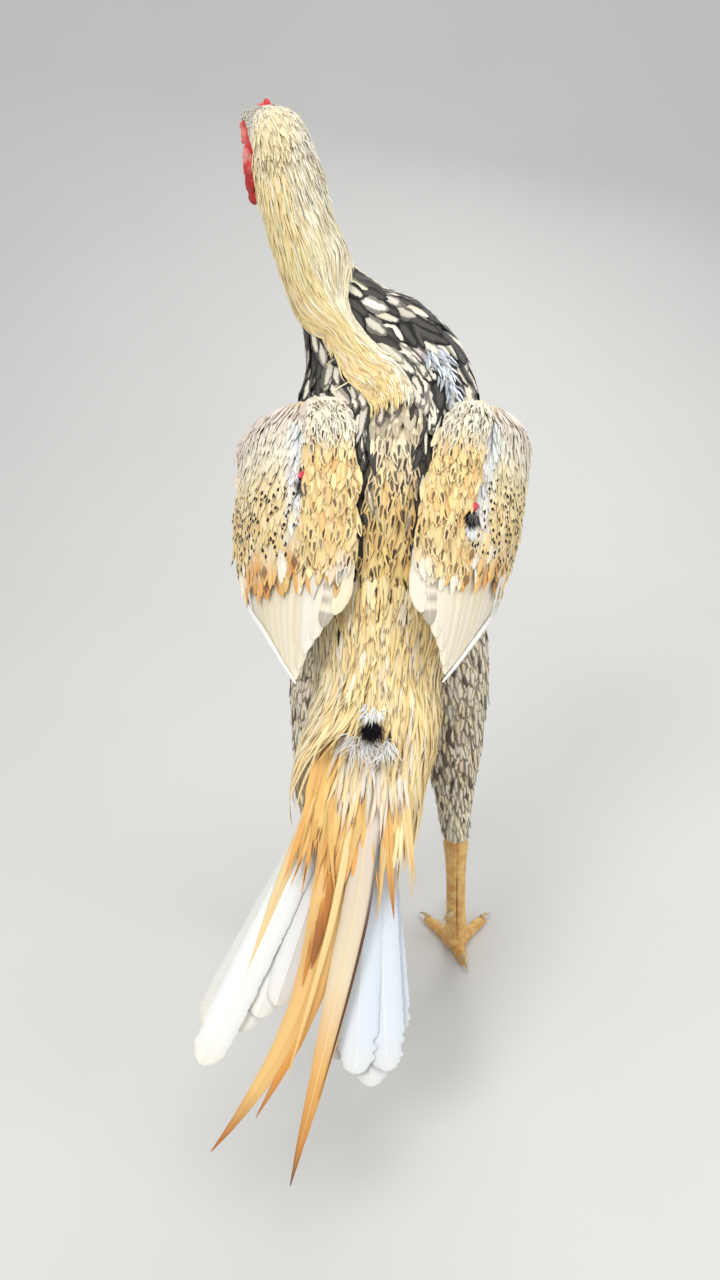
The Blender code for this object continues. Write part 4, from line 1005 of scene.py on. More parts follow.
def growFlights(word):
    side, where = sides[word], "wing_" + word
    batches = []
    count = wingCoat["flights"]
    places = np.linspace(-0.90, 0.86, count)
    tips = np.interp(places, (-0.9, -0.5, -0.2, 0.27, 0.64, 0.86), (0.80, 0.91, 1.005, 0.955, 0.83, 0.775))
    ivory = mix(pigment["white"], pigment["cream"], 0.5)
    smoke = mix(mix(pigment["grey"], pigment["umber"], 0.35), ivory, 0.45)
    barred = [(0, ivory), (0.50, ivory)]
    for k in range(7):
        tone = smoke if k % 2 == 0 else ivory
        barred += [(0.54 + 0.06 * k, tone), (0.57 + 0.06 * k, tone)]
    for k in range(count):
        low = -0.0002 - 0.00040 * k
        base = jitter(mix(pigment["white"], pigment["cream"], 0.30 + 0.35 * rng.random()), 1, 0.02)
        length = (tips[k] - 0.42) * wing["length"]
        half = 0.0084 if k < count - 1 else 0.0060
        batches.append(feathers(where, vec(0.42), vec(places[k]), vec(length), vec(half), base, shape="quill",
                                section="wide", steps=30, fray=0.05, splits=0.04, thick=0.00040, flutter=0.0001,
                                camber=0.10 if k > 2 else 0.16, rise=(low - 0.001, low, low + 0.0012),
                                tilt=-0.10 * side, stops=barred if k == 1 else None,
                                shaft=mix(pigment["white"], pigment["horn"], 0.15)))
    # the white shaft of the outermost flight stands along the wing's edge
    share, q = np.array(wingCoat["leading"]).T
    line = throughPoints(surfaces[where]["at"](share, q, np.zeros(len(share))), 24)[None]
    normals = np.broadcast_to(wingAxes(word)[0], line.shape)
    batches.append(vane(line, normals, unwrap(surfaces[where], share[:1], q[:1]), vec(0.0027), pigment["white"],
                        shape="rod", section="wide", fray=0.02, camber=0.0, thick=0.0010))
    # greater coverts in two rows, many with orange ends, a few with a small dark tip
    for share, n, from_, height in ((0.43, 21, -0.80, 0.0000), (0.38, 17, -0.24, 0.0010)):
        q = np.linspace(from_, 0.92, n) + rng.normal(0, 0.015, n)
        orange = (rng.random(n) < np.where(q < -0.25, 0.25, 0.66))[:, None]
        base = mix(pigment["cream"], pigment["white"], 0.2 + rng.random((n, 1)) * 0.6)
        tip = np.where(orange, mix(pigment["orange"], pigment["gold"], rng.random((n, 1)) * 0.8), base)
        marks = kinds(n, dot=orange[:, 0] * (rng.random(n) < 0.35) * 0.7, brown=0.7)
        length, half = 0.066 * rng.uniform(0.84, 1.12, n), rng.uniform(0.0036, 0.0050, n)
        batches.append(feathers(where, np.full(n, share), q, length, half, jitter(base, n, 0.05),
                                tip=jitter(tip, n, 0.06), tipFrom=0.40, shape="round", section="wide", steps=14,
                                fray=0.14, splits=0.06, rise=(height - 0.002, height, height + 0.0016),
                                tilt=-0.08 * side, camber=0.14, bend=rng.normal(0, 0.06, n), marks=marks))
    return batches


def growWing(word):
    c = wingCoat
    side, where = sides[word], "wing_" + word
    batches = growFlights(word)
    spotShare, spotQ = c["spots"][word]
    # the small coverts lie flat in rows from below upwards, right over the outer edge
    a, b = coverRows(where, 0.57, 0.015, c["rows"], c["spacing"], -1.02, 1.12)
    bare = (np.abs(b - spotQ) < 0.075) & (a > spotShare - 0.100) & (a < spotShare + 0.020)
    low = (a > 0.50) & (b > -0.30)
    keep = ~bare & ~low
    a, b = a[keep], b[keep]
    n = len(a)
    base, marks = wingTones(a, b, n)
    length = np.interp(a, (0.03, 0.2, 0.55), (0.020, 0.025, 0.029)) * rng.uniform(0.85, 1.15, n)
    half = np.interp(a, (0.03, 0.2, 0.55), (0.0022, 0.0027, 0.0031)) * rng.uniform(0.85, 1.2, n)
    batches.append(feathers(where, a, b, length, half, base, shape="body", section="ridge", fray=0.2, flow=wingFlow,
                            rise=(-0.0024, 0.0008, 0.0024), tilt=rng.normal(0, 0.10, n) - 0.05 * side, marks=marks,
                            heading=rng.normal(0, 0.10, n), bend=rng.normal(0, 0.12, n), flutter=0.0006))
    # whitish ones line its hollow side
    a, b = coverRows("under_" + word, 0.60, -0.02, 0.0085, 0.0062, -0.98, 0.98)
    n = len(a)
    base = mix(pigment["pearl"], pigment["paleCream"], rng.random((n, 1)))
    base = np.where(rng.random((n, 1)) < 0.15, mix(base, pigment["slate"], 0.5), base)
    length, half = rng.uniform(0.024, 0.034, n), rng.uniform(0.0034, 0.0048, n)
    batches.append(feathers("under_" + word, a, b, length, half, jitter(base, n, 0.06), shape="body",
                            section="ridge", fray=0.2, rise=(-0.0030, 0.0002, 0.0014), flutter=0.0005,
                            tilt=rng.normal(0, 0.10, n), heading=rng.normal(0, 0.12, n)))
    makeCoat("plumage_wing_" + word, batches, plumage["wing"])


tailRows = dict(
    # heading in degrees to the right of straight back, length, half width, height at root and tip, bend
    left=((-18.0, 0.236, 0.0115, -0.0010, -0.0030, 0.0), (-20.5, 0.248, 0.0120, -0.0022, -0.0050, 0.0),
          (-22.6, 0.262, 0.0120, -0.0034, -0.0070, 0.0), (-27.2, 0.268, 0.0120, -0.0046, -0.0090, -0.002),
          (-24.8, 0.290, 0.0132, 0.0005, 0.0010, -0.003)),
    right=((-6.4, 0.262, 0.0135, -0.0010, -0.0030, 0.0), (-0.9, 0.278, 0.0140, -0.0036, -0.0060, 0.0),
           (-3.2, 0.270, 0.0150, 0.0003, 0.0008, 0.0), (0.9, 0.268, 0.0140, -0.0012, -0.0030, 0.003),
           (3.0, 0.246, 0.0105, -0.0050, -0.0100, 0.003)),
)
# The sickles' lines: distance along the tail, to the right of its middle, and up
sickleLines = dict(
    orange=((0.010, -0.016, 0.004), (0.060, -0.022, 0.008), (0.113, -0.032, 0.009), (0.172, -0.040, 0.009),
            (0.220, -0.052, 0.008), (0.261, -0.072, 0.007), (0.296, -0.096, 0.006), (0.318, -0.114, 0.005)),
    orangeSide=((0.050, -0.014, 0.007), (0.120, -0.024, 0.008), (0.190, -0.036, 0.008), (0.250, -0.058, 0.006),
                (0.297, -0.084, 0.005)),
    fleck=((0.150, -0.0385, 0.0112), (0.172, -0.0410, 0.0113), (0.200, -0.0475, 0.0105)),
    fleckHigh=((0.126, -0.0330, 0.0114), (0.148, -0.0352, 0.0116), (0.178, -0.0385, 0.0114)),
    fleckLow=((0.166, -0.0450, 0.0104), (0.186, -0.0480, 0.0104), (0.212, -0.0540, 0.0096)),
    white=((0.010, -0.002, 0.006), (0.055, -0.003, 0.011), (0.100, -0.007, 0.013), (0.151, -0.014, 0.013),
           (0.193, -0.023, 0.012), (0.241, -0.034, 0.011), (0.285, -0.045, 0.010), (0.318, -0.054, 0.009),
           (0.338, -0.059, 0.009)),
    whiteRim=((0.100, 0.0025, 0.0135), (0.151, -0.0040, 0.0135), (0.193, -0.0135, 0.0125), (0.241, -0.0270, 0.0115),
              (0.285, -0.0405, 0.0105)),
    slim=((0.020, -0.008, 0.009), (0.090, -0.018, 0.012), (0.160, -0.031, 0.013), (0.220, -0.047, 0.012),
          (0.272, -0.063, 0.010)),
    short=((0.010, 0.006, 0.008), (0.060, 0.009, 0.012), (0.110, 0.010, 0.012), (0.165, 0.013, 0.010)),
    side=((0.020, -0.030, 0.002), (0.080, -0.050, 0.003), (0.140, -0.072, 0.002), (0.205, -0.096, 0.001)),
)


def tailFeather(row, base, **looks):
    # A long feather fanned by its heading from the tail's root
    degrees, length, half, upRoot, upTip, bend = row
    x = np.linspace(0.06, 1, 6)
    heading = math.radians(degrees)
    aside = math.sin(heading) * length * x + bend * x**2.5
    points = np.stack([length * x * math.cos(heading), aside, mix(upRoot, upTip, x)], -1)
    return lineFeather(points, half, base, **looks)


def lineFeather(points, half, base, steps=40, roll=0.0, **looks):
    line = throughPoints(points, steps)
    places = tailAt(line[:, 0], line[:, 1], line[:, 2])[None]
    normals = np.broadcast_to(tailUp, places.shape)
    bake = unwrap(surfaces["tail"], line[:1, 0], line[:1, 1])
    settings = dict(section="wide", thick=0.00042, camber=0.10, fray=0.05, tilt=roll)
    settings.update(looks)
    return vane(places, normals, bake, vec(half), base, **settings)


def sickleCoats():
    # Each sickle's name, half width, outline, colours along it and colour of its shaft
    white, cream, gold, orange, rust, brown = (
        pigment[x] for x in ("white", "cream", "gold", "orange", "rust", "umber"))
    amber, apricot = mix(mix(orange, gold, 0.6), cream, 0.15), mix(orange, gold, 0.5)
    fawn = paint(216, 200, 182)
    return (
        ("orange", 0.0120, "sickle", ((0, gold), (0.25, mix(amber, gold, 0.5)), (0.55, amber), (0.85, amber),
                                      (0.96, rust), (1, rust)), mix(amber, gold, 0.6)),
        ("orangeSide", 0.0080, "sickle", ((0, gold), (0.5, mix(amber, gold, 0.3)), (0.85, orange), (1, rust)), gold),
        ("fleck", 0.0036, "lance", ((0, orange), (0.3, rust), (0.7, mix(rust, brown, 0.4)), (1, rust)), rust),
        ("fleckHigh", 0.0024, "lance", ((0, orange), (0.4, mix(orange, rust, 0.8)), (1, rust)), rust),
        ("fleckLow", 0.0020, "lance", ((0, amber), (0.4, mix(orange, rust, 0.7)), (1, orange)), orange),
        ("white", 0.0108, "sickle", ((0, white), (0.3, fawn), (0.6, mix(cream, fawn, 0.5)), (0.78, apricot),
                                     (0.92, mix(orange, rust, 0.5)), (1, brown)), mix(cream, gold, 0.3)),
        ("whiteRim", 0.0011, "lance", ((0, pigment["slate"]), (0.4, brown), (0.8, brown), (1, rust)), brown),
        ("slim", 0.0030, "lance", ((0, cream), (0.6, mix(cream, gold, 0.6)), (1, gold)), cream),
        ("short", 0.0050, "lance", ((0, gold), (0.7, apricot), (1, rust)), rust),
        ("side", 0.0052, "lance", ((0, mix(white, cream, 0.25)), (0.5, mix(cream, orange, 0.3)),
                                   (1, mix(cream, gold, 0.4))), cream),
    )


def growTail():
    white, cream = pigment["white"], pigment["cream"]
    batches = []
    for word in sides:
        cool, torn = (0.1, 0.10) if word == "left" else (0.75, 0.20)
        for row in tailRows[word]:
            base = mix(mix(white, pigment["blueWhite"], cool), cream, 0.08 * rng.random())
            base = jitter(base, 1, 0.015)
            batches.append(tailFeather(row, base, tip=mix(base[0], cream, 0.2), tipFrom=0.88, shape="rectrix",
                                       roll=0.05, tipFray=torn, steps=120, shaft=mix(white, pigment["slate"], 0.12)))
    for name, half, shape, stops, shaft in sickleCoats():
        batches.append(lineFeather(sickleLines[name], half, cream, stops=stops, shape=shape, camber=0.22,
                                   shaft=shaft, roll=-0.12 if name == "white" else 0.06))
    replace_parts(makeCoat("tailFeathers", batches, plumage["quill"]), "tail")


def growCoverts():
    # Over the tail's root: golden orange on the left, pinkish white in the middle, golden on the right
    batches = []
    white, cream, gold, orange = (pigment[x] for x in ("white", "cream", "gold", "orange"))
    pink = mix(white, pigment["blush"], 0.5)
    groups = (
        # count, root side from and to, heading from and to in degrees, length, height, colours, dashed, half width
        (120, -0.038, -0.002, -12, -3, 0.102, 0.0110, gold, mix(orange, gold, 0.3), 0.50, 0.0030),
        (90, -0.022, 0.020, -14, 3, 0.064, 0.0140, pink, mix(cream, gold, 0.4), 0.45, 0.0019),
        (46, 0.002, 0.026, -10, 0, 0.112, 0.0100, cream, mix(gold, orange, 0.15), 0.35, 0.0026),
    )
    for count, side0, side1, low, high, size, height, first, second, dashed, half in groups:
        f = rng.random(count)
        heading = np.radians(mix(low, high, f)) + rng.normal(0, 0.05, count)
        base = mix(first, second, rng.random((count, 1)))
        root, length = rng.uniform(0.004, 0.045, count), size * rng.uniform(0.7, 1.15, count)
        half = half * rng.uniform(0.75, 1.3, count)
        batches.append(feathers("tail", root, mix(side0, side1, f), length, half, jitter(base, count, 0.08),
                                tip=jitter(mix(base, orange, 0.35), count, 0.06), heading=heading, section="ridge",
                                steps=14, rise=(0.004, height, height + 0.001, height * 0.8), fray=0.25,
                                tilt=rng.normal(0, 0.16, count), flutter=0.0014, bend=rng.normal(0, 0.14, count),
                                thick=0.0004,
                                marks=kinds(count, dash=(rng.random(count) < dashed) * 0.85, brown=0.6)))
    makeCoat("tailCoverts", batches, plumage["hackle"])


def growDown():
    # Tufts of down: over the tail's root, at the bare spots of the wings and beside the neck
    black, grey, white = pigment["black"], pigment["grey"], paint(250, 248, 244)
    batches = [
        tuft(tailAt(0.010, -0.003, 0.031), tailUp, tailBack, 0.0040, 0.012, 90, white, half=0.0006, rise=0.35),
        tuft(tailAt(0.022, -0.003, 0.028), tailUp, tailBack, 0.0034, 0.014, 420, black, droop=1.35, rise=0.65),
        tuft(tailAt(0.032, -0.012, 0.021), tailUp, tailBack, 0.006, 0.020, 80, white, half=0.0006),
        tuft(tailAt(0.036, 0.006, 0.021), tailUp, tailBack, 0.005, 0.018, 45, white, half=0.0006),
    ]
    for word in sides:
        dark = word == "right"
        tones = (
            # further along, further across, colour, count
            # the grey down just below each bare spot is partly down and partly a painted shade under its red skin
            (0.030, 0.0, grey, 40),
            (0.036, -0.05, black if dark else grey, 70 if dark else 30),
            (0.075, 0.02, white, 130),
            (0.022, 0.07, black, 60 if dark else 12),
            (-0.010, 0.10, white, 50),
        )
        for more, across, colour, count in tones:
            place, normal = spotPlace(word, 0.0012, more, across)
            batches.append(tuft(place, normal, -bodyDirection, 0.0035, 0.008, count, colour, droop=1.1, rise=0.3))
    n = 60
    a, b = rng.uniform(6.0, 7.1, n), np.radians(rng.normal(54, 4, n))
    tone = mix(mix(pigment["blueWhite"], white, 0.4), pigment["slate"], (rng.random((n, 1)) < 0.35) * 0.7)
    length, half = rng.uniform(0.012, 0.024, n), rng.uniform(0.0012, 0.0022, n)
    batches.append(feathers("trunk", a, b, length, half, jitter(tone, n, 0.08), heading=rng.normal(0, 0.3, n),
                            bend=rng.normal(0, 0.3, n), rise=(0.0, 0.0040, 0.0050), section="ridge", fray=0.3,
                            flutter=0.001))
    makeCoat("downTufts", batches, plumage["down"])


def growThigh(word):
    where = "thigh_" + word
    a, b = coverRows(where, 0.4, 8.15, 0.0060, 0.0046, 0, 2 * math.pi)
    n = len(a)
    base = mix(pigment["chalk"], pigment["cream"], rng.random((n, 1)) * 0.6)
    dark = rng.random(n) < 0.08
    base = np.where(dark[:, None], mix(base, pigment["black"], 0.85), base)
    fade = smooth(a, 5.0, 7.5)
    marks = kinds(n, lace=rng.uniform(0.45, 0.85, n) * (1 - 0.5 * fade), brown=0.55)
    length = np.interp(a, (0, 4, 7.0, 8.2), (0.036, 0.032, 0.018, 0.012)) * rng.uniform(0.85, 1.15, n)
    half = np.interp(a, (0, 4, 8.2), (0.0038, 0.0032, 0.0015)) * rng.uniform(0.85, 1.2, n)
    batch = feathers(where, a, b, length, half, jitter(base, n, 0.08), shape="body", section="ridge", fray=0.22,
                     marks=marks, rise=(-0.004, 0.0, 0.0018, 0.0022), lift=-0.0012 * smooth(a, 6.5, 8.0),
                     tilt=rng.normal(0, 0.12, n), heading=rng.normal(0, 0.12, n), bend=rng.normal(0, 0.14, n),
                     flutter=0.0007)
    makeCoat("plumage_thigh_" + word, [batch], plumage["body"])


def pickOnly(obj):
    bpy.ops.object.select_all(action="DESELECT")
    obj.select_set(True)
    bpy.context.view_layer.objects.active = obj


def applyModifier(obj, kind, **values):
    pickOnly(obj)
    modifier = obj.modifiers.new(kind.lower(), kind)
    for key, value in values.items():
        setattr(modifier, key, value)
    bpy.ops.object.modifier_apply(modifier=modifier.name)


def vertexArray(obj, field="co"):
    values = np.empty(len(obj.data.vertices) * 3, np.float32)
    obj.data.vertices.foreach_get(field, values)
    return values.reshape(-1, 3).astype(float)


def setVertices(obj, co):
    fill(obj.data.vertices, "co", co)
    obj.data.update()


def tube(name, around, rows, at):
    # A grid rolled round into a closed tube: at(turn, share) gives the place for turns and shares from 0 to 1
    bpy.ops.object.select_all(action="DESELECT")
    bpy.ops.mesh.primitive_grid_add(x_subdivisions=around, y_subdivisions=rows, size=1)
    obj = bpy.context.object
    obj.name = name
    flat = vertexArray(obj)
    setVertices(obj, at(flat[:, 0] + 0.5, flat[:, 1] + 0.5))
    bpy.ops.object.mode_set(mode="EDIT")
    bpy.ops.mesh.select_all(action="SELECT")
    bpy.ops.mesh.remove_doubles(threshold=0.00001)
    bpy.ops.mesh.select_all(action="DESELECT")
    bpy.ops.mesh.select_mode(type="EDGE")
    bpy.ops.mesh.select_non_manifold()
    bpy.ops.mesh.edge_face_add()
    bpy.ops.mesh.select_all(action="SELECT")
    bpy.ops.mesh.normals_make_consistent(inside=False)
    bpy.ops.object.mode_set(mode="OBJECT")
    return obj


def joinAll(objects, name):
    bpy.ops.object.select_all(action="DESELECT")
    for obj in objects:
        obj.select_set(True)
    bpy.context.view_layer.objects.active = objects[0]
    bpy.ops.object.join()
    objects[0].name = name
    return objects[0]


def finishMesh(obj, material, smoothAngle=None):
    pickOnly(obj)
    bpy.ops.object.transform_apply(location=True, rotation=True, scale=True)
    obj.data.materials.clear()
    obj.data.materials.append(material)
    if smoothAngle is None:
        bpy.ops.object.shade_smooth()
    else:
        bpy.ops.object.shade_smooth_by_angle(angle=math.radians(smoothAngle))
    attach(obj, "root")
    return obj


def ovalBall(centre, radii, axes, segments=24, rings=16):
    bpy.ops.object.select_all(action="DESELECT")
    bpy.ops.mesh.primitive_uv_sphere_add(segments=segments, ring_count=rings, radius=1)
    obj = bpy.context.object
    co = vertexArray(obj)
    setVertices(obj, centre + sum(co[:, k:k + 1] * radii[k] * axes[k] for k in range(3)))
    return obj


headAxes = (headSide, headForward, headUp)


def spotPlace(word, lift, more=0.0, across=0.0):
    # Where a wing is bare: the place on its surface and the way out of it
    share, q = wingCoat["spots"][word]
    at = surfaces["wing_" + word]["at"]
    return at(vec(share + more), vec(q + across), vec(lift))[0], wingAxes(word)[0]


# Lobes of the face, on both sides: forward, out and up from the skull's middle, and their three radii
faceLobes = (
    (0.0120, 0.0140, -0.0100, 0.0058, 0.0110, 0.0066),  # cheek
    (0.0285, 0.0080, -0.0062, 0.0026, 0.0050, 0.0022),  # fold at the corner of the mouth
    (0.0235, 0.0062, -0.0178, 0.0028, 0.0056, 0.0060),
    (0.0118, 0.0155, -0.0210, 0.0050, 0.0075, 0.0075),
    (0.0030, 0.0198, -0.0215, 0.0046, 0.0095, 0.0095),  # the throat's loose skin, drawing in below the ear
    (0.0060, 0.0184, -0.0305, 0.0042, 0.0095, 0.0100),
    (0.0100, 0.0150, -0.0390, 0.0046, 0.0095, 0.0090),
)


def headBall(forward, side, up, radii, axes=headAxes, *detail):
    return ovalBall(headPlace(forward, side, up), radii, axes, *detail)


def eyeFrame(side):
    # The middle of an eye and its own axes: forward, up and out
    outward = unit(headSide * side + headForward * 0.22)
    along = unit(np.cross(headUp, outward))
    centre = headPlace(bird["eyeForward"], side * bird["eyeOut"], bird["eyeUp"])
    return centre, (along, np.cross(outward, along), outward)


def headFlesh():
    def skullAt(u, v):
        return headAt(-0.0285 + 0.0615 * v, u * fullTurn, -0.0008 * smooth(-v, -0.6, -0.4))

    pieces = [tube("skull", 72, 60, skullAt)]
    # pea comb: three low rows of knobs, the middle one highest
    for row, count, height in ((0, 6, 1.0), (-1, 5, 0.80), (1, 5, 0.80)):
        for k in range(count):
            f = k / (count - 1)
            arch = math.sin(math.pi * (0.15 + 0.75 * f))
            forward = 0.003 + 0.026 * f + (0.0025 if row else 0.0)
            up = 0.0222 - 0.0124 * f**1.3 + 0.0032 * height * arch - (0.0014 if row else 0.0)
            size = (0.0029, 0.0034, 0.0064 * height * (0.65 + 0.45 * arch) * rng.uniform(0.9, 1.05))
            pieces.append(headBall(forward, row * 0.0046 - 0.0026 * (1 - f), up, size, headAxes, 16, 10))
    for side in (-1, 1):
        eye, axes = eyeFrame(side)
        outward = axes[2]
        # earlobe, the socket's swelling and a heavy brow over it
        pieces.append(headBall(0.0015, side * 0.0218, -0.0130, (0.0036, 0.0050, 0.0082)))
        pieces.append(ovalBall(eye - outward * 0.0012, (0.0112, 0.0094, 0.0056), axes))
        brow = (bird["eyeForward"] - 0.0005, side * 0.0196, bird["eyeUp"] + 0.0072)
        pieces.append(headBall(*brow, (0.0112, 0.0030, 0.0044), axes))
        pieces += [headBall(forward, side * out, up, radii) for forward, out, up, *radii in faceLobes]
        bpy.ops.object.select_all(action="DESELECT")
        bpy.ops.mesh.primitive_torus_add(major_segments=40, minor_segments=12, major_radius=0.0058,
                                         minor_radius=0.0018)
        lids = bpy.context.object
        turned = Matrix([Vector(axis) for axis in axes]).transposed().to_4x4()
        flattened = Matrix.Diagonal((1.0, 0.78, 1.0, 1.0))
        lids.data.transform(Matrix.Translation(Vector(eye + outward * 0.0042)) @ turned @ flattened)
        pieces.append(lids)

    def dewlap(u, v):
        width = 0.0172 * (1 - 0.52 * v**1.3) * np.sqrt(1 - 0.985 * v**5) * (1 + 0.05 * np.cos(5 * math.pi * v))
        depth = 0.0120 * np.sqrt(np.sin(math.pi * (0.12 + 0.87 * v))) * (1 + 0.10 * np.cos(6 * math.pi * u) ** 2)
        side, forward = width * np.cos(u * 2 * math.pi), depth * np.sin(u * 2 * math.pi)
        return headPlace(0.0150 - 0.0020 * v + forward, -0.002 * v + side, -0.0150 - 0.0400 * v)

    pieces.append(tube("throat", 32, 40, dewlap))
    for word in sides:
        place, normal = spotPlace(word, 0.0012)
        across = np.cross(normal, bodyDirection)
        pieces.append(ovalBall(place, (0.0030, 0.0036, 0.0042), (across, bodyDirection, normal), 20, 14))
    flesh = joinAll(pieces, "headFlesh")
    applyModifier(flesh, "REMESH", mode="VOXEL", voxel_size=0.0008)
    applyModifier(flesh, "SMOOTH", factor=0.5, iterations=2)
    # wrinkles and pores of the bare skin, rings round the eyes and folds down the throat
    co = vertexArray(flesh)
    normals = vertexArray(flesh, "normal")
    fold = np.array([noise.noise(Vector(p) * 420.0) for p in co])
    crease = np.array([noise.noise(Vector((p[0] * 160, p[1] * 160, p[2] * 420))) for p in co])
    forward, up = (co - skull) @ headForward, (co - skull) @ headUp
    eyeAway = np.hypot(forward - bird["eyeForward"], up - bird["eyeUp"]) + 0.0008 * crease
    rings = np.sin(eyeAway * 2 * math.pi / 0.0021) * hump(eyeAway, 0.0098, 0.0022)
    drapes = np.sin((up + 0.006 * crease) * 2 * math.pi / 0.0052) * smooth(-up, 0.020, 0.028)
    rise = 0.00035 * fold + 0.0008 * (np.abs(crease) - 0.25) + 0.00030 * rings + 0.00040 * drapes
    setVertices(flesh, co + normals * rise[:, None])
    return flesh


def bodyFlesh():
    def trunkSkin(u, v):
        return trunkAt(-0.3 + 15.3 * v, u * fullTurn, -0.0045 + 0.0022 * smooth(v, 0.55, 0.7))

    def parson(u, v):
        width, depth = (np.interp(v, (0, 0.5, 1), sizes) for sizes in ((0.026, 0.022, 0.008), (0.014, 0.010, 0.003)))
        return tailAt(-0.030 + 0.075 * v, width * np.cos(u * fullTurn), depth * np.sin(u * fullTurn) - 0.007)

    pieces = [tube("trunkSkin", 48, 90, trunkSkin)]
    for word in sides:
        wingOn, thighOn = surfaces["wing_" + word]["at"], surfaces["thigh_" + word]["at"]

        def wingSkin(u, v, at=wingOn):
            share = 0.01 + 0.60 * v
            up = np.sin(u * fullTurn)
            lift = np.where(up > 0, -0.0026, -0.0030 - 1.1 * np.interp(share, *wing["depth"]) * np.abs(up))
            return at(share, np.cos(u * fullTurn) * 0.93, lift)

        def thighSkin(u, v, at=thighOn):
            return at(8 * v, u * fullTurn, -0.0035 * (1 - v) - 0.0012 * v)

        pieces.append(tube("wingSkin_" + word, 40, 40, wingSkin))
        pieces.append(tube("thighSkin_" + word, 32, 40, thighSkin))
    pieces.append(tube("tailSkin", 32, 24, parson))
    flesh = joinAll(pieces, "bodyFlesh")
    applyModifier(flesh, "REMESH", mode="VOXEL", voxel_size=0.0030)
    applyModifier(flesh, "SMOOTH", factor=0.5, iterations=4)
    return flesh


def skinMaterial():
    material, tree, shader = newMaterial("bareSkin")
    place = addNode(tree, "TexCoord", out="Object")
    pores = addNode(tree, "TexVoronoi", {"Vector": place, "Scale": 1300.0}, "Distance")
    mottle = addNode(tree, "TexNoise", {"Vector": place, "Scale": 260.0, "Detail": 6.0})
    shade = mathNode(tree, "MULTIPLY_ADD", mottle, 0.7, 0.62)
    feed(tree, shader, {
        "Base Color": scaled(tree, addNode(tree, "Attribute", out="Color", attribute_name="colour"), shade),
        "Roughness": 0.48,
        "Subsurface Weight": 0.12,
        "Subsurface Radius": (0.004, 0.0012, 0.0008),
    })
    addBump(tree, shader, mathNode(tree, "ADD", pores, mottle), 0.5, 0.0004)
    return material


def skinColours(co):
    # Red on the face, paler round the eye, deep red at the throat, and the coat's own colours elsewhere
    local = co - skull
    forward, side, up = local @ headForward, local @ headSide, local @ headUp
    red, deep, pale = paint(216, 56, 54), paint(176, 22, 28), paint(236, 146, 130)
    face = np.tile(red, (len(co), 1))
    eyeAway = np.hypot(forward - bird["eyeForward"], up - bird["eyeUp"])
    face = mix(face, pale, (smooth(-eyeAway, -0.014, -0.007) * 0.7)[:, None])
    # pale patches over the red face: partly paler skin and partly a painted highlight of the brightly lit face
    paleSkinAndGlare = np.array([noise.noise(Vector(p) * 120.0) for p in co])
    face = mix(face, pale, (smooth(paleSkinAndGlare, 0.05, 0.5) * 0.45)[:, None])
    face = mix(face, deep, (smooth(-up, 0.016, 0.034) * 0.8)[:, None])
    ear = np.hypot(forward - 0.0015, up + 0.0130)
    face = mix(face, paint(242, 196, 184), (smooth(-ear, -0.0075, -0.0040) * 0.55)[:, None])
    onHead = smooth(forward, -0.022, -0.014) * smooth(up, -0.066, -0.058)
    backward = (co - tailRoot) @ bodyBack
    body = mix(paint(96, 84, 76), pigment["cream"], smooth(backward, 0.0, 0.04)[:, None])
    body = mix(body, pigment["paleCream"], smooth(co[:, 2], 0.57, 0.62)[:, None])
    for word in sides:
        away = np.linalg.norm(co - spotPlace(word, 0.003)[0], axis=1)
        body = mix(body, paint(214, 70, 84), smooth(-away, -0.0075, -0.0050)[:, None])
    return mix(body, face, onHead[:, None])


def makeSkin():
    head, trunk = headFlesh(), bodyFlesh()
    applyModifier(trunk, "BOOLEAN", operation="UNION", object=head, solver="MANIFOLD")
    bpy.data.objects.remove(head, do_unlink=True)
    trunk.name = "skin"
    co = vertexArray(trunk)
    colours = np.concatenate([skinColours(co), np.ones((len(co), 1))], 1)
    fill(trunk.data.attributes.new("colour", "FLOAT_COLOR", "POINT").data, "color", colours)
    finishMesh(trunk, skinMaterial())
    nodes = ["head", "neck", "torso", "rump", "comb", "earlobe_left", "earlobe_right", "dewlap"]
    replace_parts(trunk, *nodes, "wing_left", "wing_right", "thigh_left", "thigh_right")
    print("skin:", len(trunk.data.polygons), "faces")
    return trunk


def eyeMaterial():
    # A black pupil in a pearly iris, by the way out from the middle of the eye's own unwrap
    material, tree, shader = newMaterial("pearlEye")
    uv = addNode(tree, "UVMap", uv_map="iris")
    away = addNode(tree, "VectorMath", {0: uv}, "Value", operation="LENGTH")
    grain = addNode(tree, "TexNoise", {"Vector": uv, "Scale": 9.0, "Detail": 5.0})
    reached = mathNode(tree, "MULTIPLY_ADD", grain, 0.06, mathNode(tree, "ADD", away, -0.03))
    ramp = addNode(tree, "ValToRGB", {0: reached}).node
    stops = ((0.0, (0.004, 0.004, 0.005)), (0.31, (0.004, 0.004, 0.005)), (0.35, (0.40, 0.26, 0.14)),
             (0.50, (0.62, 0.50, 0.30)), (0.68, (0.66, 0.56, 0.38)), (0.78, (0.22, 0.08, 0.05)))
    while len(ramp.color_ramp.elements) < len(stops):
        ramp.color_ramp.elements.new(0.5)
    for element, (place, colour) in zip(ramp.color_ramp.elements, stops):
        element.position = place
        element.color = (*colour, 1)
    feed(tree, shader, {"Base Color": ramp.outputs[0], "Roughness": 0.12, "Coat Weight": 1.0, "Coat Roughness": 0.03})
    return material


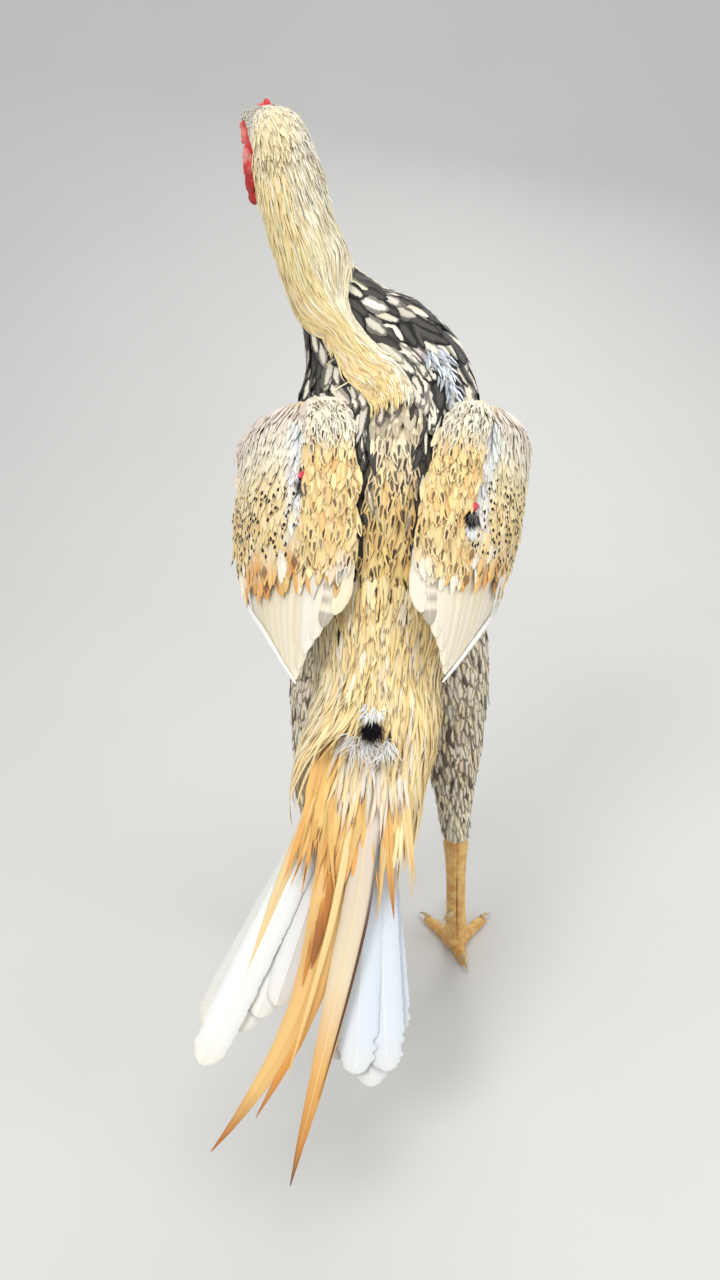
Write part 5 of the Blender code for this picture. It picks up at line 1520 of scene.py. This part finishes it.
def makeEyes():
    material = eyeMaterial()
    for word, side in sides.items():
        centre, axes = eyeFrame(side)
        eye = ovalBall(centre, [bird["eyeRadius"]] * 3, axes, 40, 28)
        local = vertexArray(eye) - centre
        flat = np.stack([local @ axes[0], local @ axes[1]], -1) / bird["eyeRadius"] / 0.95
        loops = np.empty(len(eye.data.loops), np.int32)
        eye.data.loops.foreach_get("vertex_index", loops)
        fill(eye.data.uv_layers.new(name="iris").data, "uv", flat[loops])
        eye.name = "eyeball_" + word
        finishMesh(eye, material)
        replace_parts(eye, "eye_" + word)


def hornMaterial(name, light, dark, nostrilShade=False):
    # Horn, streaked along its length by the piece's own unwrap. The bill's has two nostrils, painted near black as the
    # shade inside their openings
    material, tree, shader = newMaterial(name)
    uv = addNode(tree, "UVMap", uv_map="UVMap")
    drawnOut = addNode(tree, "Mapping", {"Vector": uv, "Scale": (26, 2.2, 1)})
    streaks = addNode(tree, "TexNoise", {"Vector": drawnOut, "Scale": 1.0, "Detail": 6.0})
    colour = mixColour(tree, rampBetween(tree, streaks, 0.34, 0.70), (*light, 1), (*dark, 1))
    if nostrilShade:
        apart = addNode(tree, "SeparateXYZ", {0: uv}).node
        aside = mathNode(tree, "ABSOLUTE", mathNode(tree, "ADD", apart.outputs[0], -0.25))
        aside = mathNode(tree, "MULTIPLY", mathNode(tree, "ADD", aside, -0.172), 2.6)
        ahead = mathNode(tree, "ADD", apart.outputs[1], -0.27)
        squares = (mathNode(tree, "MULTIPLY", x, x) for x in (aside, ahead))
        away = mathNode(tree, "SQRT", mathNode(tree, "ADD", *squares))
        # painted shade inside the two nostril openings
        colour = mixColour(tree, rampBetween(tree, away, 0.060, 0.035), colour, (0.03, 0.012, 0.008, 1))
    feed(tree, shader, {"Base Color": colour, "Roughness": 0.42, "Specular IOR Level": 0.35})
    addBump(tree, shader, streaks, 0.35, 0.0003)
    return material


horn = hornMaterial("paleHorn", paint(222, 202, 158), paint(146, 112, 76))
billHorn = hornMaterial("billHorn", paint(220, 190, 128), paint(158, 112, 66), nostrilShade=True)


def makeBill():
    start, length = 0.0318, 0.0300

    def upper(u, v):
        angle = u * 2 * math.pi
        taper = np.sqrt(np.maximum(1 - v**1.7, 0.004))
        ridge = 1 + 0.10 * hump(np.sin(angle), 1.0, 0.25)
        nostril = 0.16 * hump(v, 0.27, 0.06) * hump(np.sin(angle), 0.47, 0.16)
        height = np.where(np.sin(angle) > 0, 0.0106 * ridge, 0.0014) * taper * (1 - nostril)
        side = 0.0087 * taper * np.cos(angle) * (1 - nostril)
        return headPlace(start - 0.004 + length * v, side, -0.0032 - 0.0078 * v**2.2 + height * np.sin(angle))

    def lower(u, v):
        angle = u * 2 * math.pi
        taper = np.sqrt(np.maximum(1 - v**1.7, 0.004))
        height = np.where(np.sin(angle) > 0, 0.0006, 0.0063) * taper
        side = 0.0073 * taper * np.cos(angle)
        up = -0.0038 - 0.0036 * v**2.2 + height * np.sin(angle)
        return headPlace(start - 0.004 + length * 0.76 * v, side, up)

    for name, at, node in (("billUpper", upper, "bill_upper"), ("billLower", lower, "bill_lower")):
        bill = tube(name, 48, 48, at)
        finishMesh(bill, billHorn)
        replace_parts(bill, node)


def scaleRise(angle, along, rows, bands):
    # Height of overlapping plates over a leg or toe: angle round it from its front, along it from 0 to 1
    height = np.zeros_like(along)
    for low, high, share, stagger in bands:
        inside = (angle >= low) & (angle < high)
        cell = along * rows * share + stagger
        f = cell - np.floor(cell)
        g = (angle - low) / (high - low)
        edge = np.minimum(np.minimum(g, 1 - g) * 7, 1)
        plate = np.sqrt(np.clip(edge, 0, 1)) * np.clip(f * 9, 0, 1) ** 0.5 * np.clip((1 - f) * 14, 0, 1) ** 0.5
        height = np.where(inside, plate * (0.75 + 0.45 * f), height)
    return height


# Legs: the shank's half width and depth along it, and the columns of plates round shank and toe, each from
# and to an angle, with its share of the rows and its stagger
shankSteps = (0.0, 0.08, 0.2, 0.4, 0.7, 0.93, 1.0)
legs = dict(
    half=(shankSteps, (0.0086, 0.0112, 0.0096, 0.0086, 0.0085, 0.0102, 0.0090)),
    deep=(shankSteps, (0.0096, 0.0134, 0.0115, 0.0100, 0.0098, 0.0110, 0.0096)),
    shankPlates=((-180, -125, 2.2, 0.0), (-125, -95, 3.0, 0.4), (-95, -70, 3.0, 0.0), (-70, 0, 1.0, 0.0),
                 (0, 70, 1.0, 0.5), (70, 95, 3.0, 0.2), (95, 125, 3.0, 0.6), (125, 180.1, 2.2, 0.5)),
    toePlates=((-180, -120, 3.0, 0.0), (-120, -62, 2.4, 0.5), (-62, 62, 1.0, 0.0), (62, 120, 2.4, 0.0),
               (120, 180.1, 3.0, 0.5)),
    # name, degrees outwards, length, half width, rows of plates
    toes=(("middle", 4, 0.066, 0.0075, 14), ("inner", -34, 0.050, 0.0068, 11),
          ("outer", 40, 0.053, 0.0068, 12), ("hind", 168, 0.030, 0.0062, 6)),
)


def makeLegs(material):
    for word, side in sides.items():
        top = hock(side) + zAxis * 0.0096
        foot = vec(-0.008 + side * 0.073, 0.082, 0) + shift
        ankle = foot + zAxis * 0.0135

        def shank(u, v):
            turn = (u - 0.5) * 360
            rise = 0.0011 * (scaleRise(turn, v, 17, legs["shankPlates"]) - 0.5)
            half, deep = np.interp(v, *legs["half"]) + rise, np.interp(v, *legs["deep"]) + rise
            angle = np.radians(turn + 90)
            aside, ahead = xAxis * (half * np.cos(angle))[:, None], yAxis * (deep * np.sin(angle))[:, None]
            return mix(top, ankle, v[:, None]) + aside + ahead

        leg = tube("scales_shank_" + word, 120, 260, shank)
        finishMesh(leg, material, 40)
        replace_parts(leg, "shank_" + word)

        pieces = [ovalBall(foot + zAxis * 0.0105, (0.0125, 0.0125, 0.0112), (xAxis, yAxis, zAxis), 48, 32)]
        for name, degrees, length, half, scutes in legs["toes"]:
            heading = vec(side * math.sin(math.radians(degrees)), math.cos(math.radians(degrees)), 0)
            across = np.cross(heading, zAxis)

            def toe(u, v, heading=heading, across=across, length=length, half=half, scutes=scutes):
                turn = (u - 0.5) * 360
                rise = 0.0009 * (scaleRise(turn, v, scutes, legs["toePlates"]) - 0.5) * smooth(-v, -0.99, -0.9)
                round_ = np.sqrt(np.clip(1 - ((v - 0.5) / 0.5) ** 8, 0.0, 1))
                taper = (1 - 0.42 * v) * (1 + 0.07 * np.cos(v * 6 * math.pi)) * np.maximum(round_, 0.05)
                angle = np.radians(turn + 90)
                height = half * 1.75 * taper
                z = np.maximum(0, height * 0.42 + (height * 0.58 + rise) * np.sin(angle))
                place = foot + heading * (0.002 + (length - 0.002) * v)[:, None]
                return place + across * ((half * taper + rise) * np.cos(angle))[:, None] + zAxis * z[:, None]

            pieces.append(tube(f"toe_{name}", 64, 120, toe))

            def claw(u, v, heading=heading, across=across, length=length):
                angle = u * 2 * math.pi
                taper = np.maximum(1 - v, 0.04) ** 0.8
                z = 0.0066 + 0.0010 * np.sin(math.pi * v) - 0.0052 * v * v
                place = foot + heading * (length - 0.006 + 0.017 * v)[:, None] + zAxis * z[:, None]
                aside, above = 0.0027 * taper * np.cos(angle), 0.0029 * taper * np.sin(angle)
                return place + across * aside[:, None] + zAxis * above[:, None]

            nail = tube(f"nail_{word}_{name}", 20, 24, claw)
            finishMesh(nail, horn)
            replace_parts(nail, f"claw_{word}_{name}")
        body = pieces[0]
        for piece in pieces[1:]:
            applyModifier(body, "BOOLEAN", operation="UNION", object=piece, solver="MANIFOLD")
            bpy.data.objects.remove(piece, do_unlink=True)
        body.name = "scales_foot_" + word
        co = vertexArray(body)
        co[:, 2] = np.maximum(co[:, 2], 0)
        setVertices(body, co)
        finishMesh(body, material, 40)
        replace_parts(body, "foot_" + word)

        heading = unit(vec(-side * 0.55, -0.80, -0.12))
        across = unit(np.cross(heading, zAxis))
        upward = np.cross(across, heading)
        root = mix(top, ankle, 0.70)

        def spur(u, v):
            angle = u * 2 * math.pi
            size = 0.0046 * np.maximum(1 - v, 0.04) ** 0.8
            place = root + heading * (0.006 + 0.020 * v)[:, None] + upward * (0.003 * v * v)[:, None]
            return place + across * (size * np.cos(angle))[:, None] + upward * (size * np.sin(angle))[:, None]

        horned = tube("spurHorn_" + word, 24, 24, spur)
        finishMesh(horned, horn)
        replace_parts(horned, "spur_" + word)


def scaleMaterial():
    material, tree, shader = newMaterial("legScales")
    place = addNode(tree, "TexCoord", out="Object")
    mottle = addNode(tree, "TexNoise", {"Vector": place, "Scale": 120.0, "Detail": 5.0})
    yellow, orange = (*paint(226, 188, 112), 1), (*paint(206, 150, 84), 1)
    feed(tree, shader, {
        "Base Color": mixColour(tree, rampBetween(tree, mottle, 0.35, 0.7), yellow, orange),
        "Roughness": 0.45,
        "Subsurface Weight": 0.05,
        "Subsurface Radius": (0.003, 0.0015, 0.0008),
    })
    addBump(tree, shader, mottle, 0.3, 0.0002)
    return material


studio = dict(floor=paint(206, 205, 201), wallAt=2.6, wide=14.0, round=1.6, sky=0.66)


def makeStudio():
    # A pale floor that turns up into a wall far behind the bird
    bpy.ops.object.select_all(action="DESELECT")
    bpy.ops.mesh.primitive_plane_add(size=studio["wide"], location=(0, 0, 0))
    floor = bpy.context.object
    floor.name = "studioFloor"
    # the far edge goes up into a wall, with a wide round between them
    bpy.ops.object.mode_set(mode="EDIT")
    bpy.ops.mesh.select_mode(type="EDGE")
    bpy.ops.mesh.select_all(action="DESELECT")
    bpy.ops.object.mode_set(mode="OBJECT")
    for vertex in floor.data.vertices:
        vertex.co.y = studio["wallAt"] if vertex.co.y > 0 else -studio["wide"] / 2
    for edge in floor.data.edges:
        edge.select = all(floor.data.vertices[k].co.y > 0 for k in edge.vertices)
    bpy.ops.object.mode_set(mode="EDIT")
    bpy.ops.mesh.extrude_region_move(TRANSFORM_OT_translate={"value": (0, 0, 6.0)})
    bpy.ops.object.mode_set(mode="OBJECT")
    for edge in floor.data.edges:
        ends = [floor.data.vertices[k].co for k in edge.vertices]
        edge.select = all(abs(p.y - studio["wallAt"]) < 0.01 and p.z < 0.01 for p in ends)
    bpy.ops.object.mode_set(mode="EDIT")
    bpy.ops.mesh.bevel(offset=studio["round"], segments=24, affect="EDGES")
    bpy.ops.object.mode_set(mode="OBJECT")
    bpy.ops.object.shade_smooth()
    material, tree, shader = newMaterial("paleFloor", Roughness=0.8)
    cloud = addNode(tree, "TexNoise", {"Vector": addNode(tree, "TexCoord", out="Object"), "Scale": 2.5})
    low, high = ((*studio["floor"] * tone, 1) for tone in (0.97, 1.03))
    feed(tree, shader, {"Base Color": mixColour(tree, cloud, low, high)})
    floor.data.materials.append(material)
    world = bpy.data.worlds.new("studioAir")
    world.use_nodes = True
    world.node_tree.nodes["Background"].inputs["Color"].default_value = (0.93, 0.95, 1.0, 1)
    world.node_tree.nodes["Background"].inputs["Strength"].default_value = studio["sky"]
    bpy.context.scene.world = world
    lamps = (("key", (-1.1, -1.5, 1.9), 1.0, 25.0), ("fill", (1.7, -0.9, 1.2), 1.4, 13.0),
             ("back", (0.4, 1.7, 1.8), 1.2, 16.0), ("top", (0.0, 0.0, 2.6), 1.6, 14.0))
    for name, where, size, power in lamps:
        lamp = bpy.data.lights.new(name, "AREA")
        lamp.shape, lamp.size, lamp.energy = "DISK", size, power
        holder = bpy.data.objects.new(name, lamp)
        holder.location = where
        holder.rotation_euler = (Vector((0, 0, 0.4)) - Vector(where)).to_track_quat("-Z", "Y").to_euler()
        bpy.context.scene.collection.objects.link(holder)
    bpy.context.scene.view_settings.view_transform = "Standard"


camera = dict(place=(-0.031, -0.700, 0.646), pitch=21.9, focalPixels=961, imageHeight=1280, sensor=36)


def makeCamera():
    where = vec(*camera["place"]) + shift
    bpy.ops.object.camera_add(location=where, rotation=(math.radians(90 - camera["pitch"]), 0, 0))
    eye = bpy.context.object
    eye.data.sensor_width = camera["sensor"]
    eye.data.lens = camera["sensor"] * camera["focalPixels"] / camera["imageHeight"]
    eye.data.clip_start = 0.01
    bpy.context.scene.camera = eye


makeCamera()
makeStudio()
print("studio ready")
skin = makeSkin()
makeEyes()
makeBill()
makeLegs(scaleMaterial())
print("skin, face and legs ready")
growHead(skin)
growNeck()
growTorso()
growSaddle()
for word in sides:
    growWing(word)
    growThigh(word)
growTail()
growCoverts()
growDown()
print("plumage ready")
